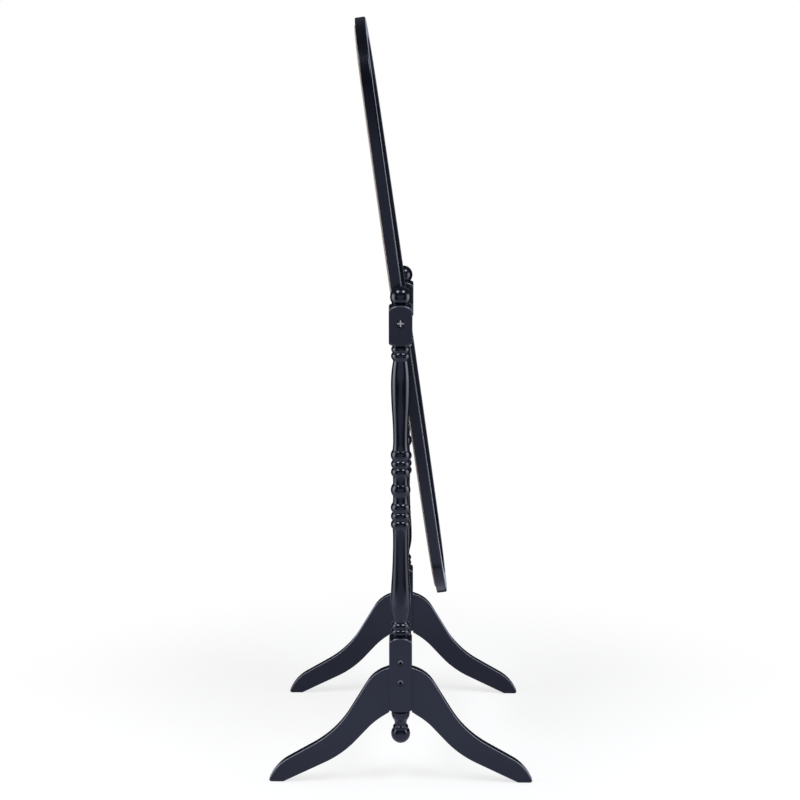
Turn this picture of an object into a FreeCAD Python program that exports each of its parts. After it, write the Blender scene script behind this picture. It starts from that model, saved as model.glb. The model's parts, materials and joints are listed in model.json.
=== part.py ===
import FreeCAD, Part
import math
import os
import Sketcher
from FreeCAD import Rotation, Vector

# Cheval mirror: an oval mirror that tilts between two turned posts, each on a pair of curved legs.
# The origin is on the floor midway between the posts. X runs along the pivot axis from the left
# post to the right one, the mirror faces -Y, and Z is up. Sizes are in millimetres and degrees.

SIZES = {
    # Mirror frame: an oval of four tangent arcs
    "frame_width": 430.0,
    "frame_length": 1172.0,
    "side_radius": 2322.0,
    "frame_face": 38.0,
    "frame_thickness": 20.0,
    "front_round": 3.0,
    "inner_round": 5.0,
    "back_round": 1.0,
    "rabbet_width": 8.0,
    "rabbet_depth": 6.0,
    # Glass, cushion strip, backing board and its screws
    "glass_thickness": 4.0,
    "glass_clearance": 0.75,
    "cushion_width": 7.0,
    "backing_thickness": 3.0,
    "backing_inset": 14.0,
    "screw_inset": 22.0,
    "screw_pitch": 210.0,
    "screw_end_angle": 48.0,
    "screw_diameter": 3.2,
    "screw_length": 12.0,
    "screw_head_diameter": 7.0,
    "screw_head_height": 1.8,
    "screw_cross_length": 4.0,
    "screw_cross_width": 0.9,
    "screw_cross_depth": 1.2,
    # Pivot: bolts through the upper blocks into the frame's edges
    "rest_tilt": 8.17,
    "pivot_gap": 6.0,
    "pivot_offset": 7.0,
    "pivot_lift": 5.5,
    "swing_gap": 44.5,
    "pivot_diameter": 8.0,
    "pivot_clearance": 0.05,
    "pivot_sink": 7.0,
    "pivot_head_diameter": 16.0,
    "pivot_head_rim": 2.5,
    "pivot_head_crown": 1.5,
    "pivot_cross_length": 12.0,
    "pivot_cross_width": 2.0,
    "pivot_cross_depth": 2.2,
    "pivot_tail_gap": 2.0,
    "bushing_wall": 2.0,
    "washer_thickness": 1.2,
    "washer_overhang": 0.3,
    "spacer_diameter": 19.0,
    "seat_depth": 0.5,
    "seat_margin": 0.3,
    "insert_diameter": 12.0,
    "insert_length": 18.0,
    # Square blocks of the posts
    "block_width": 44.0,
    "block_arris": 1.5,
    "blank_margin": 0.5,
    "lower_block_height": 137.0,
    "upper_block_height": 53.0,
    "post_reveal": 0.5,
    "taper_share": 0.531,
    # Legs: the upper edge from hip to toe, the sole, and the under edge from instep to heel
    "leg_thickness": 18.0,
    "leg_edge_round": 2.5,
    "hip_run": 30.6,
    "hip_rise": 11.1,
    "thigh_run": 72.5,
    "thigh_rise": 120.6,
    "shin_run": 116.6,
    "shin_rise": 67.5,
    "toe_run": 19.0,
    "toe_rise": 35.8,
    "sole_length": 30.6,
    "instep_rise": 57.0,
    "arch_run": 62.4,
    "arch_rise": 68.0,
    "heel_run": 29.2,
    "heel_rise": 19.0,
    "hip_round": 68.0,
    "thigh_round": 200.0,
    "shin_round": 90.0,
    "toe_round": 4.5,
    "sole_round": 6.0,
    "instep_round": 200.0,
    "arch_round": 150.0,
    # Dowels between legs and posts
    "dowel_diameter": 8.0,
    "dowel_post_depth": 16.0,
    "dowel_leg_depth": 20.0,
    "dowel_margin": 20.0,
    "dowel_spacing": 28.0,
    # Stretcher, with its bolts and barrel nuts
    "stretcher_thickness": 20.0,
    "stretcher_margin": 19.0,
    "stretcher_flat": 70.0,
    "stretcher_arch": 16.0,
    "stretcher_round": 2.0,
    "bolt_rise": 58.5,
    "bolt_spacing": 40.0,
    "bolt_diameter": 6.0,
    "bolt_head_diameter": 10.5,
    "bolt_head_height": 6.0,
    "bolt_sink": 8.0,
    "bolt_socket_width": 5.0,
    "bolt_socket_depth": 3.5,
    "bolt_tail": 8.0,
    "nut_diameter": 10.0,
    "nut_length": 15.0,
    "nut_reach": 32.0,
    "nut_skin": 2.0,
    # Room around sunk heads, around what is glued or screwed in, and at the ends of blind holes
    "sink_clearance": 0.75,
    "drill_clearance": 0.05,
    "hole_end_gap": 2.0,
}

# A post's turned outline from the foot upwards. Each member has its name, its form, its height,
# the radius at its foot and the number that shapes it. A word stands for a size given elsewhere.
# bead and cove: an arc that swells out or sinks in by the last number
# ogee: two arcs, upright at both ends, that meet at that share of the height
# flare: an arc that is upright at its foot; settle: one that is upright at its head
# dome_foot and dome_head: a ball's arc that ends on the axis
FINIAL = [
    ("drop_ball", "dome_foot", 30.5, "on_axis", None),
    ("drop_bead", "bead", 7.0, 13.8, 1.7),
    ("drop_waist", "line", 2.5, 12.0, None),
    ("drop_flare", "ogee", 20.0, 11.6, 0.5),
    ("drop_collar", "line", 4.0, 18.0, None),
]
COLUMN = [
    ("lower_foot", "bead", 6.5, 18.0, 1.0),
    ("lower_block", "line", "lower_block_height", "blank_radius", None),
    ("lower_head", "bead", 13.0, "blank_radius", 2.0),
    ("foot_bead_low", "bead", 11.5, 15.3, 2.9),
    ("foot_bead_high", "bead", 12.0, 15.2, 2.9),
    ("vase_neck", "line", 2.5, 15.0, None),
    ("vase_flare", "ogee", 41.0, 13.7, 0.3),
    ("vase_taper", "ogee", "vase_taper_height", 19.1, 0.3),
    ("vase_throat", "flare", 21.0, 14.7, None),
    ("mid_bead_low", "bead", 16.0, 15.8, 3.1),
    ("mid_bead_centre", "bead", 16.0, 15.7, 3.0),
    ("mid_bead_high", "bead", 18.0, 15.7, 3.2),
    ("lower_spool", "cove", 14.0, 15.3, 0.4),
    ("barrel", "bead", 23.0, 15.3, 3.6),
    ("upper_spool", "cove", 15.0, 15.3, 0.4),
    ("crown_bead_low", "bead", 16.0, 15.5, 3.0),
    ("crown_bead_centre", "bead", 15.0, 15.6, 2.9),
    ("crown_bead_high", "bead", 19.5, 15.6, 3.1),
    ("column_throat", "settle", 17.5, 15.5, None),
    ("column_swell", "ogee", "column_swell_height", 14.3, 0.5),
    ("column_shoulder", "flare", 45.0, 18.4, None),
    ("head_neck", "line", 2.5, 14.2, None),
    ("head_bead_low", "bead", 13.5, 15.3, 2.9),
    ("head_bead_high", "bead", 12.0, 15.2, 2.6),
    ("upper_foot", "bead", 12.0, 15.3, 1.7),
]
TOP = [
    ("upper_block", "line", "upper_block_height", "blank_radius", None),
    ("upper_head", "bead", 15.0, "blank_radius", 2.6),
    ("ball_groove", "line", 1.0, 15.4, None),
    ("ball", "dome_head", 31.0, 16.6, None),
]
MEMBERS = FINIAL + COLUMN + TOP
TAPERS = ("vase_taper", "column_swell")
STICK_MARGIN = 5.0
SIDES = ("left", "right")
PAIR = range(2)
# Places closer than this are the same place
NEAR = 1e-3

doc = FreeCAD.newDocument("cheval_mirror")
sheet = doc.addObject("Spreadsheet::Sheet", "dims")
nodes = []


def alias_of(member, part):
    """Sheet alias of a turned member's height, radius or shape number."""
    given = member[("name", "form", "height", "radius", "shape").index(part)]
    return given if isinstance(given, str) else f"{member[0]}_{part}"


def turned_steps():
    """Turned members as single lines and arcs: name, form, rise, foot, head and shape aliases."""
    steps = []
    for member, following in zip(MEMBERS, MEMBERS[1:] + [None]):
        name, form = member[:2]
        rise, foot, shape = (alias_of(member, part) for part in ("height", "radius", "shape"))
        head = alias_of(following, "radius") if following else "on_axis"
        if form == "ogee":
            steps.append((f"{name}_low", "flare", f"{name}_low_rise", foot, f"{name}_middle", None))
            steps.append((f"{name}_high", "settle", f"{name}_high_rise", f"{name}_middle", head, None))
        else:
            steps.append((name, form, rise, foot, head, shape))
    return steps


def bend_formula(form, rise, foot, head, shape):
    """Radius of a turned arc, worked out from its rise, its end radii and its shape number."""
    span = f"({rise}^2 + ({head} - {foot})^2)"
    if form in ("bead", "cove"):
        return f"=({span} / 4 + {shape}^2) / (2 * {shape})"
    if form in ("flare", "settle"):
        return f"={span} / (2 * abs({head} - {foot}))"
    return f"={span} / (2 * {rise})"


def member_rows():
    """Sheet rows of the turned members' own numbers."""
    rows = {}
    for member in MEMBERS:
        for part, given in zip(("height", "radius", "shape"), member[2:]):
            if isinstance(given, float):
                rows[alias_of(member, part)] = given
    return rows


def arc_rows():
    """Sheet rows of what the turned arcs need: where each ogee's two arcs meet, and every bend."""
    rows = {"on_axis": "=0"}
    for member, following in zip(MEMBERS, MEMBERS[1:]):
        name, form = member[:2]
        if form == "ogee":
            rise, foot, share = (alias_of(member, part) for part in ("height", "radius", "shape"))
            rows[f"{name}_low_rise"] = f"={rise} * {share}"
            rows[f"{name}_high_rise"] = f"={rise} * (1 - {share})"
            rows[f"{name}_middle"] = f"={foot} + ({alias_of(following, 'radius')} - {foot}) * {share}"
    for name, form, *aliases in turned_steps():
        if form != "line":
            rows[f"{name}_bend"] = bend_formula(form, *aliases)
    return rows


def worked_out_rows():
    """Sheet rows that tie the pieces to each other."""
    fixed = " + ".join(alias_of(m, "height") for m in COLUMN if m[0] not in TAPERS)
    return {
        "post_offset": "=frame_width / 2 + pivot_gap + block_width / 2",
        "blank_radius": "=block_width / sqrt(2) + blank_margin",
        "end_radius": "=(side_radius * frame_width - frame_width^2 / 4 - frame_length^2 / 4)"
                      " / (2 * side_radius - frame_length)",
        "side_centre": "=side_radius - frame_width / 2",
        "end_centre": "=frame_length / 2 - end_radius",
        "leg_under": "=instep_rise + arch_rise + heel_rise",
        "post_foot": "=leg_under - post_reveal",
        "bolt_level": "=lower_foot_height + bolt_rise",
        "dowel_level": "=post_reveal + dowel_margin",
        "stretcher_top": "=post_foot + bolt_level + bolt_spacing + stretcher_margin",
        "pivot_level": "=stretcher_top + swing_gap + frame_length / 2 + pivot_offset",
        "pivot_height": "=pivot_level - post_foot",
        "pivot_rise": "=upper_block_height / 2 + pivot_lift",
        "taper_room": f"=pivot_height - pivot_rise - ({fixed})",
        "vase_taper_height": "=taper_room * taper_share",
        "column_swell_height": "=taper_room * (1 - taper_share)",
        "finial_height": "=" + " + ".join(alias_of(m, "height") for m in FINIAL),
        "post_height": "=" + " + ".join(alias_of(m, "height") for m in MEMBERS),
        "oval_back": "=-pivot_offset * sin(rest_tilt * 1deg)",
        "oval_level": "=pivot_level - pivot_offset * cos(rest_tilt * 1deg)",
        "rabbet_inset": "=frame_face - rabbet_width",
        "glass_inset": "=rabbet_inset + glass_clearance",
        "cushion_inset": "=glass_inset + cushion_width",
        "seat_offset": "=post_offset - frame_width / 2 + seat_depth",
        "bushing_diameter": "=pivot_diameter + 2 * (pivot_clearance + bushing_wall)",
        "washer_diameter": "=pivot_head_diameter + 2 * washer_overhang",
    }


def fill_sheet():
    """Writes every size with its alias: the driving ones as numbers, the others as formulas."""
    rows = {**SIZES, **member_rows(), **worked_out_rows(), **arc_rows()}
    for row, (alias, entry) in enumerate(rows.items(), start=1):
        sheet.set(f"A{row}", alias)
        sheet.set(f"B{row}", str(entry))
        sheet.setAlias(f"B{row}", alias)
    doc.recompute()


def size(alias):
    """A size's number, as the sheet gives it."""
    return float(sheet.get(alias))


def place(thing, x="0", y="0", z="0"):
    """Binds a thing's place to three expressions."""
    for axis, expression in zip("xyz", (x, y, z)):
        thing.setExpression(f"Placement.Base.{axis}", expression)
    return thing


def node(thing, label):
    """Names a finished piece, which is then written to a file of that name."""
    thing.Label = label
    nodes.append(thing)
    return thing


def lay_along(thing, axis):
    """Turns a thing made along Z so that it lies along X or Y."""
    turns = {"x": Rotation(Vector(0, 1, 0), 90), "y": Rotation(Vector(1, 0, 0), -90)}
    thing.Placement.Rotation = turns[axis]
    return thing


def rod(name, axis, diameter, length, start):
    """Round rod along an axis from its start point, all given as expressions."""
    cylinder = doc.addObject("Part::Cylinder", name)
    cylinder.setExpression("Radius", f"({diameter}) / 2")
    cylinder.setExpression("Height", length)
    return place(lay_along(cylinder, axis), *start)


def cone(name, axis, first, last, length, start):
    """Cone along an axis from its start point, with its first and its last diameter."""
    taper = doc.addObject("Part::Cone", name)
    taper.setExpression("Radius1", f"({first}) / 2")
    taper.setExpression("Radius2", f"({last}) / 2")
    taper.setExpression("Height", length)
    return place(lay_along(taper, axis), *start)


def cross_recess(name, axis, head, start):
    """Two crossed slots that go in along an axis, with the sizes of that head's cross."""
    across = [side for side in "xyz" if side != axis]
    arms = []
    for along, aside in (across, across[::-1]):
        extent = {
            axis: f"dims.{head}_cross_depth",
            along: f"dims.{head}_cross_length",
            aside: f"dims.{head}_cross_width",
        }
        arm = doc.addObject("Part::Box", f"{name}_{along}")
        corner = []
        for side, edge, middle in zip("xyz", ("Length", "Width", "Height"), start):
            arm.setExpression(edge, extent[side])
            corner.append(middle if side == axis else f"{middle} - {extent[side]} / 2")
        arms.append(place(arm, *corner))
    return fuse(name, arms)


def fuse(name, shapes):
    """Joins several shapes into one."""
    joined = doc.addObject("Part::MultiFuse", name)
    joined.Shapes = shapes
    return joined


def cut(name, base, tool):
    """What is left of one shape when another is taken away."""
    remainder = doc.addObject("Part::Cut", name)
    remainder.Base = base
    remainder.Tool = tool
    return remainder


def group(name, shapes):
    """Separate solids that make one node."""
    bundle = doc.addObject("Part::Compound", name)
    bundle.Links = shapes
    return bundle


def tube(name, outer, inner, length, start):
    """Tube along X: a rod with a bore through it."""
    outside = rod(f"{name}_outside", "x", outer, length, (start, "0", "0"))
    bore = rod(f"{name}_bore", "x", inner, length, (start, "0", "0"))
    return cut(name, outside, bore)


def on_side(thing, side, z):
    """Puts a piece drawn about the left post's axis there, or half a turn round at the right post."""
    if side == "right":
        thing.Placement.Rotation = Rotation(Vector(0, 0, 1), 180)
        return place(thing, x="dims.post_offset", z=z)
    return place(thing, x="-dims.post_offset", z=z)


def with_mirror(thing):
    """Puts a piece drawn about the upright oval's centre at the mirror's resting tilt."""
    thing.Placement.Rotation = Rotation(Vector(1, 0, 0), -1)
    thing.setExpression("Placement.Rotation.Angle", "-dims.rest_tilt")
    return place(thing, y="dims.oval_back", z="dims.oval_level")


def origin_plane(body, role):
    """One of a body's own three planes."""
    return next(o for o in body.Origin.OriginFeatures if o.Role == role)


def new_sketch(body, plane, name, offset=None):
    """Sketch on one of the body's own planes, shifted along that plane's normal if need be."""
    sketch = body.newObject("Sketcher::SketchObject", name)
    sketch.AttachmentSupport = (origin_plane(body, plane), [""])
    sketch.MapMode = "FlatFace"
    if offset:
        sketch.setExpression("AttachmentOffset.Base.z", offset)
    return sketch


def bind(sketch, constraints):
    """Adds constraints in one go; each comes with the expression that drives it, or None."""
    first = sketch.ConstraintCount
    sketch.addConstraint([constraint for constraint, _ in constraints])
    for index, (_, expression) in enumerate(constraints, start=first):
        if expression:
            sketch.setExpression(f"Constraints[{index}]", expression)


def draw_path(sketch, points, sagittas):
    """Closed path of lines and arcs, as (geometry, start vertex, end vertex) for each stretch."""
    path = []
    for start, end, sagitta in zip(points, points[1:] + points[:1], sagittas):
        shape = Part.LineSegment(start, end)
        if sagitta:
            along = end - start
            right = Vector(along.y, -along.x, 0).normalize()
            shape = Part.Arc(start, (start + end) * 0.5 + right * sagitta, end)
        geometry = sketch.addGeometry(shape)
        forward = sketch.getPoint(geometry, 1).distanceToPoint(start) < NEAR
        path.append((geometry, 1, 2) if forward else (geometry, 2, 1))
    bind(sketch, [
        (Sketcher.Constraint("Coincident", geometry, end, following, start), None)
        for (geometry, _, end), (following, start, _) in zip(path, path[1:] + path[:1])
    ])
    return path


def sketch_middle():
    """The sketch's own origin, as a (geometry, vertex)."""
    return -1, 1


def step_x(left, right, expression):
    """Drives how far the second (geometry, vertex) lies to the right of the first."""
    return Sketcher.Constraint("DistanceX", *left, *right, 1.0), expression


def step_y(low, high, expression):
    """Drives how far the second (geometry, vertex) lies above the first."""
    return Sketcher.Constraint("DistanceY", *low, *high, 1.0), expression


def on_axis(vertex, axis):
    """Holds a (geometry, vertex) on the sketch's level or upright axis."""
    line = {"level": -1, "upright": -2}[axis]
    return Sketcher.Constraint("PointOnObject", *vertex, line), None


def pad(body, sketch, name, length, side="One side"):
    """Board of a sketch's outline."""
    board = body.newObject("PartDesign::Pad", name)
    board.Profile = sketch
    board.SideType = side
    board.setExpression("Length", length)
    return board


def round_edges(body, name, radius, choose):
    """Rounds the edges that choose() picks."""
    doc.recompute()
    base = body.Tip
    picked = [f"Edge{i}" for i, edge in enumerate(base.Shape.Edges, start=1) if choose(edge)]
    rounding = body.newObject("PartDesign::Fillet", name)
    rounding.Base = (base, picked)
    rounding.setExpression("Radius", radius)


def sagitta_of(step):
    """How far a turned arc stands off its chord, outwards if positive."""
    name, form, rise, foot, head, _ = step
    if form == "line":
        return 0.0
    bend = size(f"{name}_bend")
    spread = size(head) - size(foot)
    chord = math.hypot(size(rise), spread)
    depth = bend - math.sqrt(bend**2 - chord**2 / 4)
    inward = form == "cove" or (form == "flare" and spread > 0) or (form == "settle" and spread < 0)
    return -depth if inward else depth


def turned_stick():
    """The turned outline spun about the post's axis, left round where the blocks will be."""
    body = doc.addObject("PartDesign::Body", "turned_stick")
    sketch = new_sketch(body, "XZ_Plane", "turned_outline")
    steps = turned_steps()
    points = []
    level = -size("finial_height")
    for step in steps:
        points.append(Vector(size(step[3]), level, 0))
        level += size(step[2])
    points.append(Vector(0, level, 0))
    path = draw_path(sketch, points, [sagitta_of(step) for step in steps] + [0.0])
    constraints = []
    for (name, form, rise, foot, _, _), (geometry, start, end) in zip(steps, path):
        vertex = (geometry, start)
        constraints.append(step_y(vertex, (geometry, end), f"dims.{rise}"))
        if foot == "on_axis":
            constraints.append(on_axis(vertex, "upright"))
        else:
            constraints.append(step_x(sketch_middle(), vertex, f"dims.{foot}"))
        if form != "line":
            bend = Sketcher.Constraint("Radius", geometry, size(f"{name}_bend"))
            constraints.append((bend, f"dims.{name}_bend"))
        if name == COLUMN[0][0]:
            constraints.append(on_axis(vertex, "level"))
    axis_line, top, _ = path[-1]
    constraints.append(on_axis((axis_line, top), "upright"))
    bind(sketch, constraints)
    spin = body.newObject("PartDesign::Revolution", "turned_round")
    spin.Profile = sketch
    spin.ReferenceAxis = (sketch, ["V_Axis"])
    return body


def square_stick():
    """The square stock that the turning is cut from, with its long edges eased."""
    body = doc.addObject("PartDesign::Body", "square_stick")
    stock = body.newObject("PartDesign::AdditiveBox", "square_stock")
    for edge in ("Length", "Width"):
        stock.setExpression(edge, "dims.block_width")
    stock.setExpression("Height", f"dims.post_height + {2 * STICK_MARGIN}")
    place(stock, "-dims.block_width / 2", "-dims.block_width / 2", f"-dims.finial_height - {STICK_MARGIN}")
    round_edges(body, "square_arris", "dims.block_arris", lambda edge: edge.BoundBox.ZLength > NEAR)
    return body


def post_drills():
    """Holes of a post, whose outer face is at -X: pivot, stretcher bolts and leg dowels."""
    face = "-dims.block_width / 2"
    fit = "2 * dims.drill_clearance"
    room = "2 * dims.sink_clearance"
    pivot = (face, "0", "dims.pivot_height")
    drills = [
        rod("pivot_hole", "x", f"dims.bushing_diameter + {fit}", "dims.block_width", pivot),
        rod("pivot_sink", "x", f"dims.washer_diameter + {room}", "dims.pivot_sink", pivot),
    ]
    shank, head = f"dims.bolt_diameter + {fit}", f"dims.bolt_head_diameter + {room}"
    dowel, depth = f"dims.dowel_diameter + {fit}", "dims.dowel_post_depth + dims.hole_end_gap"
    for row in PAIR:
        bolt = (face, "0", f"dims.bolt_level + {row} * dims.bolt_spacing")
        drills.append(rod(f"bolt_hole_{row}", "x", shank, "dims.block_width", bolt))
        drills.append(rod(f"bolt_sink_{row}", "x", head, "dims.bolt_sink", bolt))
        level = f"dims.dowel_level + {row} * dims.dowel_spacing"
        for name, start in (("front", face), ("rear", f"dims.block_width / 2 - ({depth})")):
            drills.append(rod(f"dowel_hole_{name}_{row}", "y", dowel, depth, ("0", start, level)))
    return fuse("post_drills", drills)


def make_posts():
    """Two posts: the turned stick and the square one have the wood in common."""
    stick = doc.addObject("Part::Common", "post_stick")
    stick.Base = turned_stick()
    stick.Tool = square_stick()
    drills = post_drills()
    for side in SIDES:
        post = cut(f"{side}_post_wood", stick, drills)
        node(on_side(post, side, "dims.post_foot"), f"{side}_post")


def leg_blank():
    """A rear leg as a board in the YZ plane: the sharp outline, its corners rounded one by one."""
    corners = ("hip_end", "hip", "thigh", "shin", "toe", "sole", "instep", "arch", "heel_end")
    butt = size("block_width") / 2
    at = {"toe": Vector(butt + sum(size(f"{p}_run") for p in ("hip", "thigh", "shin", "toe")), 0, 0)}
    at["shin"] = at["toe"] + Vector(-size("toe_run"), size("toe_rise"), 0)
    at["thigh"] = at["shin"] + Vector(-size("shin_run"), size("shin_rise"), 0)
    at["hip"] = at["thigh"] + Vector(-size("thigh_run"), size("thigh_rise"), 0)
    at["hip_end"] = at["hip"] + Vector(-size("hip_run"), size("hip_rise"), 0)
    at["sole"] = at["toe"] - Vector(size("sole_length"), 0, 0)
    at["heel_end"] = Vector(butt, size("leg_under"), 0)
    at["arch"] = at["heel_end"] + Vector(size("heel_run"), -size("heel_rise"), 0)
    at["instep"] = at["arch"] + Vector(size("arch_run"), -size("arch_rise"), 0)
    body = doc.addObject("PartDesign::Body", "leg_blank")
    sketch = new_sketch(body, "YZ_Plane", "leg_outline")
    path = draw_path(sketch, [at[corner] for corner in corners], [0.0] * len(corners))
    vertex = {corner: stretch[:2] for corner, stretch in zip(corners, path)}
    constraints = [on_axis(vertex[corner], "level") for corner in ("toe", "sole")]
    for corner in ("hip_end", "heel_end"):
        constraints.append(step_x(sketch_middle(), vertex[corner], "dims.block_width / 2"))
    for before, corner in zip(corners, ("hip", "thigh", "shin", "toe")):
        constraints.append(step_x(vertex[before], vertex[corner], f"dims.{corner}_run"))
        constraints.append(step_y(vertex[corner], vertex[before], f"dims.{corner}_rise"))
    constraints.append(step_x(vertex["sole"], vertex["toe"], "dims.sole_length"))
    constraints.append(step_y(vertex["sole"], vertex["instep"], "dims.instep_rise"))
    for corner, before, name in (("instep", "arch", "arch"), ("arch", "heel_end", "heel")):
        constraints.append(step_x(vertex[before], vertex[corner], f"dims.{name}_run"))
        constraints.append(step_y(vertex[corner], vertex[before], f"dims.{name}_rise"))
    bind(sketch, constraints)
    pad(body, sketch, "leg_board", "dims.leg_thickness", "Symmetric")
    for corner in corners[1:-1]:
        spot = Vector(0, at[corner].x, at[corner].y)
        round_edges(body, f"{corner}_corner", f"dims.{corner}_round",
                    lambda edge: edge.CenterOfMass.distanceToPoint(spot) < NEAR)
    round_edges(body, "leg_arris", "dims.leg_edge_round",
                lambda edge: edge.BoundBox.XLength < NEAR and edge.BoundBox.YMax > butt + NEAR)
    return body


def leg_dowels(name, clearance, end_gap):
    """A leg's two dowels, or with some clearance and end gap the holes for them."""
    start = f"dims.block_width / 2 - dims.dowel_post_depth - {end_gap}"
    length = f"dims.dowel_post_depth + dims.dowel_leg_depth + 2 * {end_gap}"
    diameter = f"dims.dowel_diameter + 2 * {clearance}"
    rods = []
    for row in PAIR:
        level = f"dims.leg_under + dims.dowel_margin + {row} * dims.dowel_spacing"
        rods.append(rod(f"{name}_{row}", "y", diameter, length, ("0", start, level)))
    return rods


def make_legs():
    """Four legs with their dowels; the front ones are the rear ones turned half round."""
    blank = leg_blank()
    holes = group("leg_holes", leg_dowels("leg_hole", "dims.drill_clearance", "dims.hole_end_gap"))
    dowels = leg_dowels("leg_dowel", "0", "0")
    for side, x in zip(SIDES, ("-dims.post_offset", "dims.post_offset")):
        for end, turn in (("front", 180), ("rear", 0)):
            pieces = {
                "leg": cut(f"{side}_{end}_leg_wood", blank, holes),
                "leg_dowels": group(f"{side}_{end}_dowel_pair", dowels),
            }
            for name, piece in pieces.items():
                piece.Placement.Rotation = Rotation(Vector(0, 0, 1), turn)
                node(place(piece, x=x), f"{side}_{end}_{name}")


def stretcher_board():
    """Board between the posts with a low arch under it, drawn about the lower bolts' level."""
    half = size("post_offset") - size("block_width") / 2
    foot = -size("stretcher_margin")
    head = size("bolt_spacing") + size("stretcher_margin")
    spring = half - size("stretcher_flat")
    points = [
        Vector(-half, foot, 0), Vector(-spring, foot, 0), Vector(spring, foot, 0), Vector(half, foot, 0),
        Vector(half, head, 0), Vector(-half, head, 0),
    ]
    body = doc.addObject("PartDesign::Body", "stretcher_board")
    sketch = new_sketch(body, "XZ_Plane", "stretcher_outline")
    path = draw_path(sketch, points, [0.0, -size("stretcher_arch"), 0.0, 0.0, 0.0, 0.0])
    near_foot, left_spring, right_spring, far_foot, far_head, near_head = (stretch[:2] for stretch in path)
    reach = "dims.post_offset - dims.block_width / 2"
    arch, rise = f"({reach} - dims.stretcher_flat)", "dims.stretcher_arch"
    constraints = [
        step_x(near_foot, sketch_middle(), reach), step_x(near_head, sketch_middle(), reach),
        step_x(sketch_middle(), far_foot, reach), step_x(sketch_middle(), far_head, reach),
        step_x(near_foot, left_spring, "dims.stretcher_flat"),
        step_x(right_spring, far_foot, "dims.stretcher_flat"),
        step_y(sketch_middle(), near_head, "dims.bolt_spacing + dims.stretcher_margin"),
        step_y(sketch_middle(), far_head, "dims.bolt_spacing + dims.stretcher_margin"),
        (Sketcher.Constraint("Radius", path[1][0], 1.0), f"({arch}^2 + {rise}^2) / (2 * {rise})"),
    ]
    for vertex in (near_foot, left_spring, right_spring, far_foot):
        constraints.append(step_y(vertex, sketch_middle(), "dims.stretcher_margin"))
    bind(sketch, constraints)
    pad(body, sketch, "stretcher_pad", "dims.stretcher_thickness", "Symmetric")
    round_edges(body, "stretcher_arris", "dims.stretcher_round",
                lambda edge: edge.BoundBox.YLength < NEAR and edge.BoundBox.XLength > NEAR)
    return body


def make_stretcher():
    """The stretcher, drilled for the bolts and, from behind, for the barrel nuts."""
    reach = "dims.post_offset - dims.block_width / 2"
    nut_hole = "dims.nut_diameter + 2 * dims.drill_clearance"
    nut_depth = "dims.stretcher_thickness - dims.nut_skin"
    bolt_hole = "dims.bolt_diameter + 2 * dims.drill_clearance"
    bolt_depth = "dims.nut_reach + dims.bolt_tail + dims.hole_end_gap"
    drills = []
    for row in PAIR:
        level = f"{row} * dims.bolt_spacing"
        for side, near, nut in (("left", f"-({reach})", f"-({reach}) + dims.nut_reach"),
                                ("right", f"{reach} - ({bolt_depth})", f"{reach} - dims.nut_reach")):
            drills.append(rod(f"{side}_bolt_way_{row}", "x", bolt_hole, bolt_depth, (near, "0", level)))
            start = (nut, "dims.nut_skin - dims.stretcher_thickness / 2", level)
            drills.append(rod(f"{side}_nut_hole_{row}", "y", nut_hole, nut_depth, start))
    board = cut("stretcher_wood", stretcher_board(), fuse("stretcher_drills", drills))
    node(place(board, z="dims.post_foot + dims.bolt_level"), "stretcher")


def stretcher_bolt(row):
    """Socket-head bolt from the sunk seat in a post to just past its barrel nut."""
    level = f"{row} * dims.bolt_spacing"
    seat = "dims.bolt_sink - dims.block_width / 2"
    top = f"{seat} - dims.bolt_head_height"
    reach = f"dims.block_width / 2 + dims.nut_reach + dims.bolt_tail - ({seat})"
    head = rod(f"bolt_head_{row}", "x", "dims.bolt_head_diameter", "dims.bolt_head_height", (top, "0", level))
    shank = rod(f"bolt_shank_{row}", "x", "dims.bolt_diameter", reach, (seat, "0", level))
    socket = doc.addObject("Part::Prism", f"bolt_socket_{row}")
    socket.Polygon = 6
    socket.setExpression("Circumradius", "dims.bolt_socket_width / sqrt(3)")
    socket.setExpression("Height", "dims.bolt_socket_depth")
    socket.Placement.Rotation = Rotation(Vector(0, 1, 0), 90)
    place(socket, top, "0", level)
    return cut(f"stretcher_bolt_{row}", fuse(f"bolt_blank_{row}", [head, shank]), socket)


def barrel_nut(row):
    """Cross nut in the stretcher, bored for its bolt."""
    level = f"{row} * dims.bolt_spacing"
    centre = "dims.block_width / 2 + dims.nut_reach"
    barrel = rod(f"nut_barrel_{row}", "y", "dims.nut_diameter", "dims.nut_length",
                 (centre, "-dims.nut_length / 2", level))
    bore = "dims.bolt_diameter + 2 * dims.drill_clearance"
    thread = rod(f"nut_thread_{row}", "x", bore, "dims.nut_diameter",
                 (f"{centre} - dims.nut_diameter / 2", "0", level))
    return cut(f"barrel_nut_{row}", barrel, thread)


def make_stretcher_fasteners():
    """Two bolts and two barrel nuts at each end of the stretcher."""
    bolts = [stretcher_bolt(row) for row in PAIR]
    nuts = [barrel_nut(row) for row in PAIR]
    for side in SIDES:
        for name, pieces in (("stretcher_bolts", bolts), ("barrel_nuts", nuts)):
            pair = group(f"{side}_{name}_pair", pieces)
            node(on_side(pair, side, "dims.post_foot + dims.bolt_level"), f"{side}_{name}")


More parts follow.
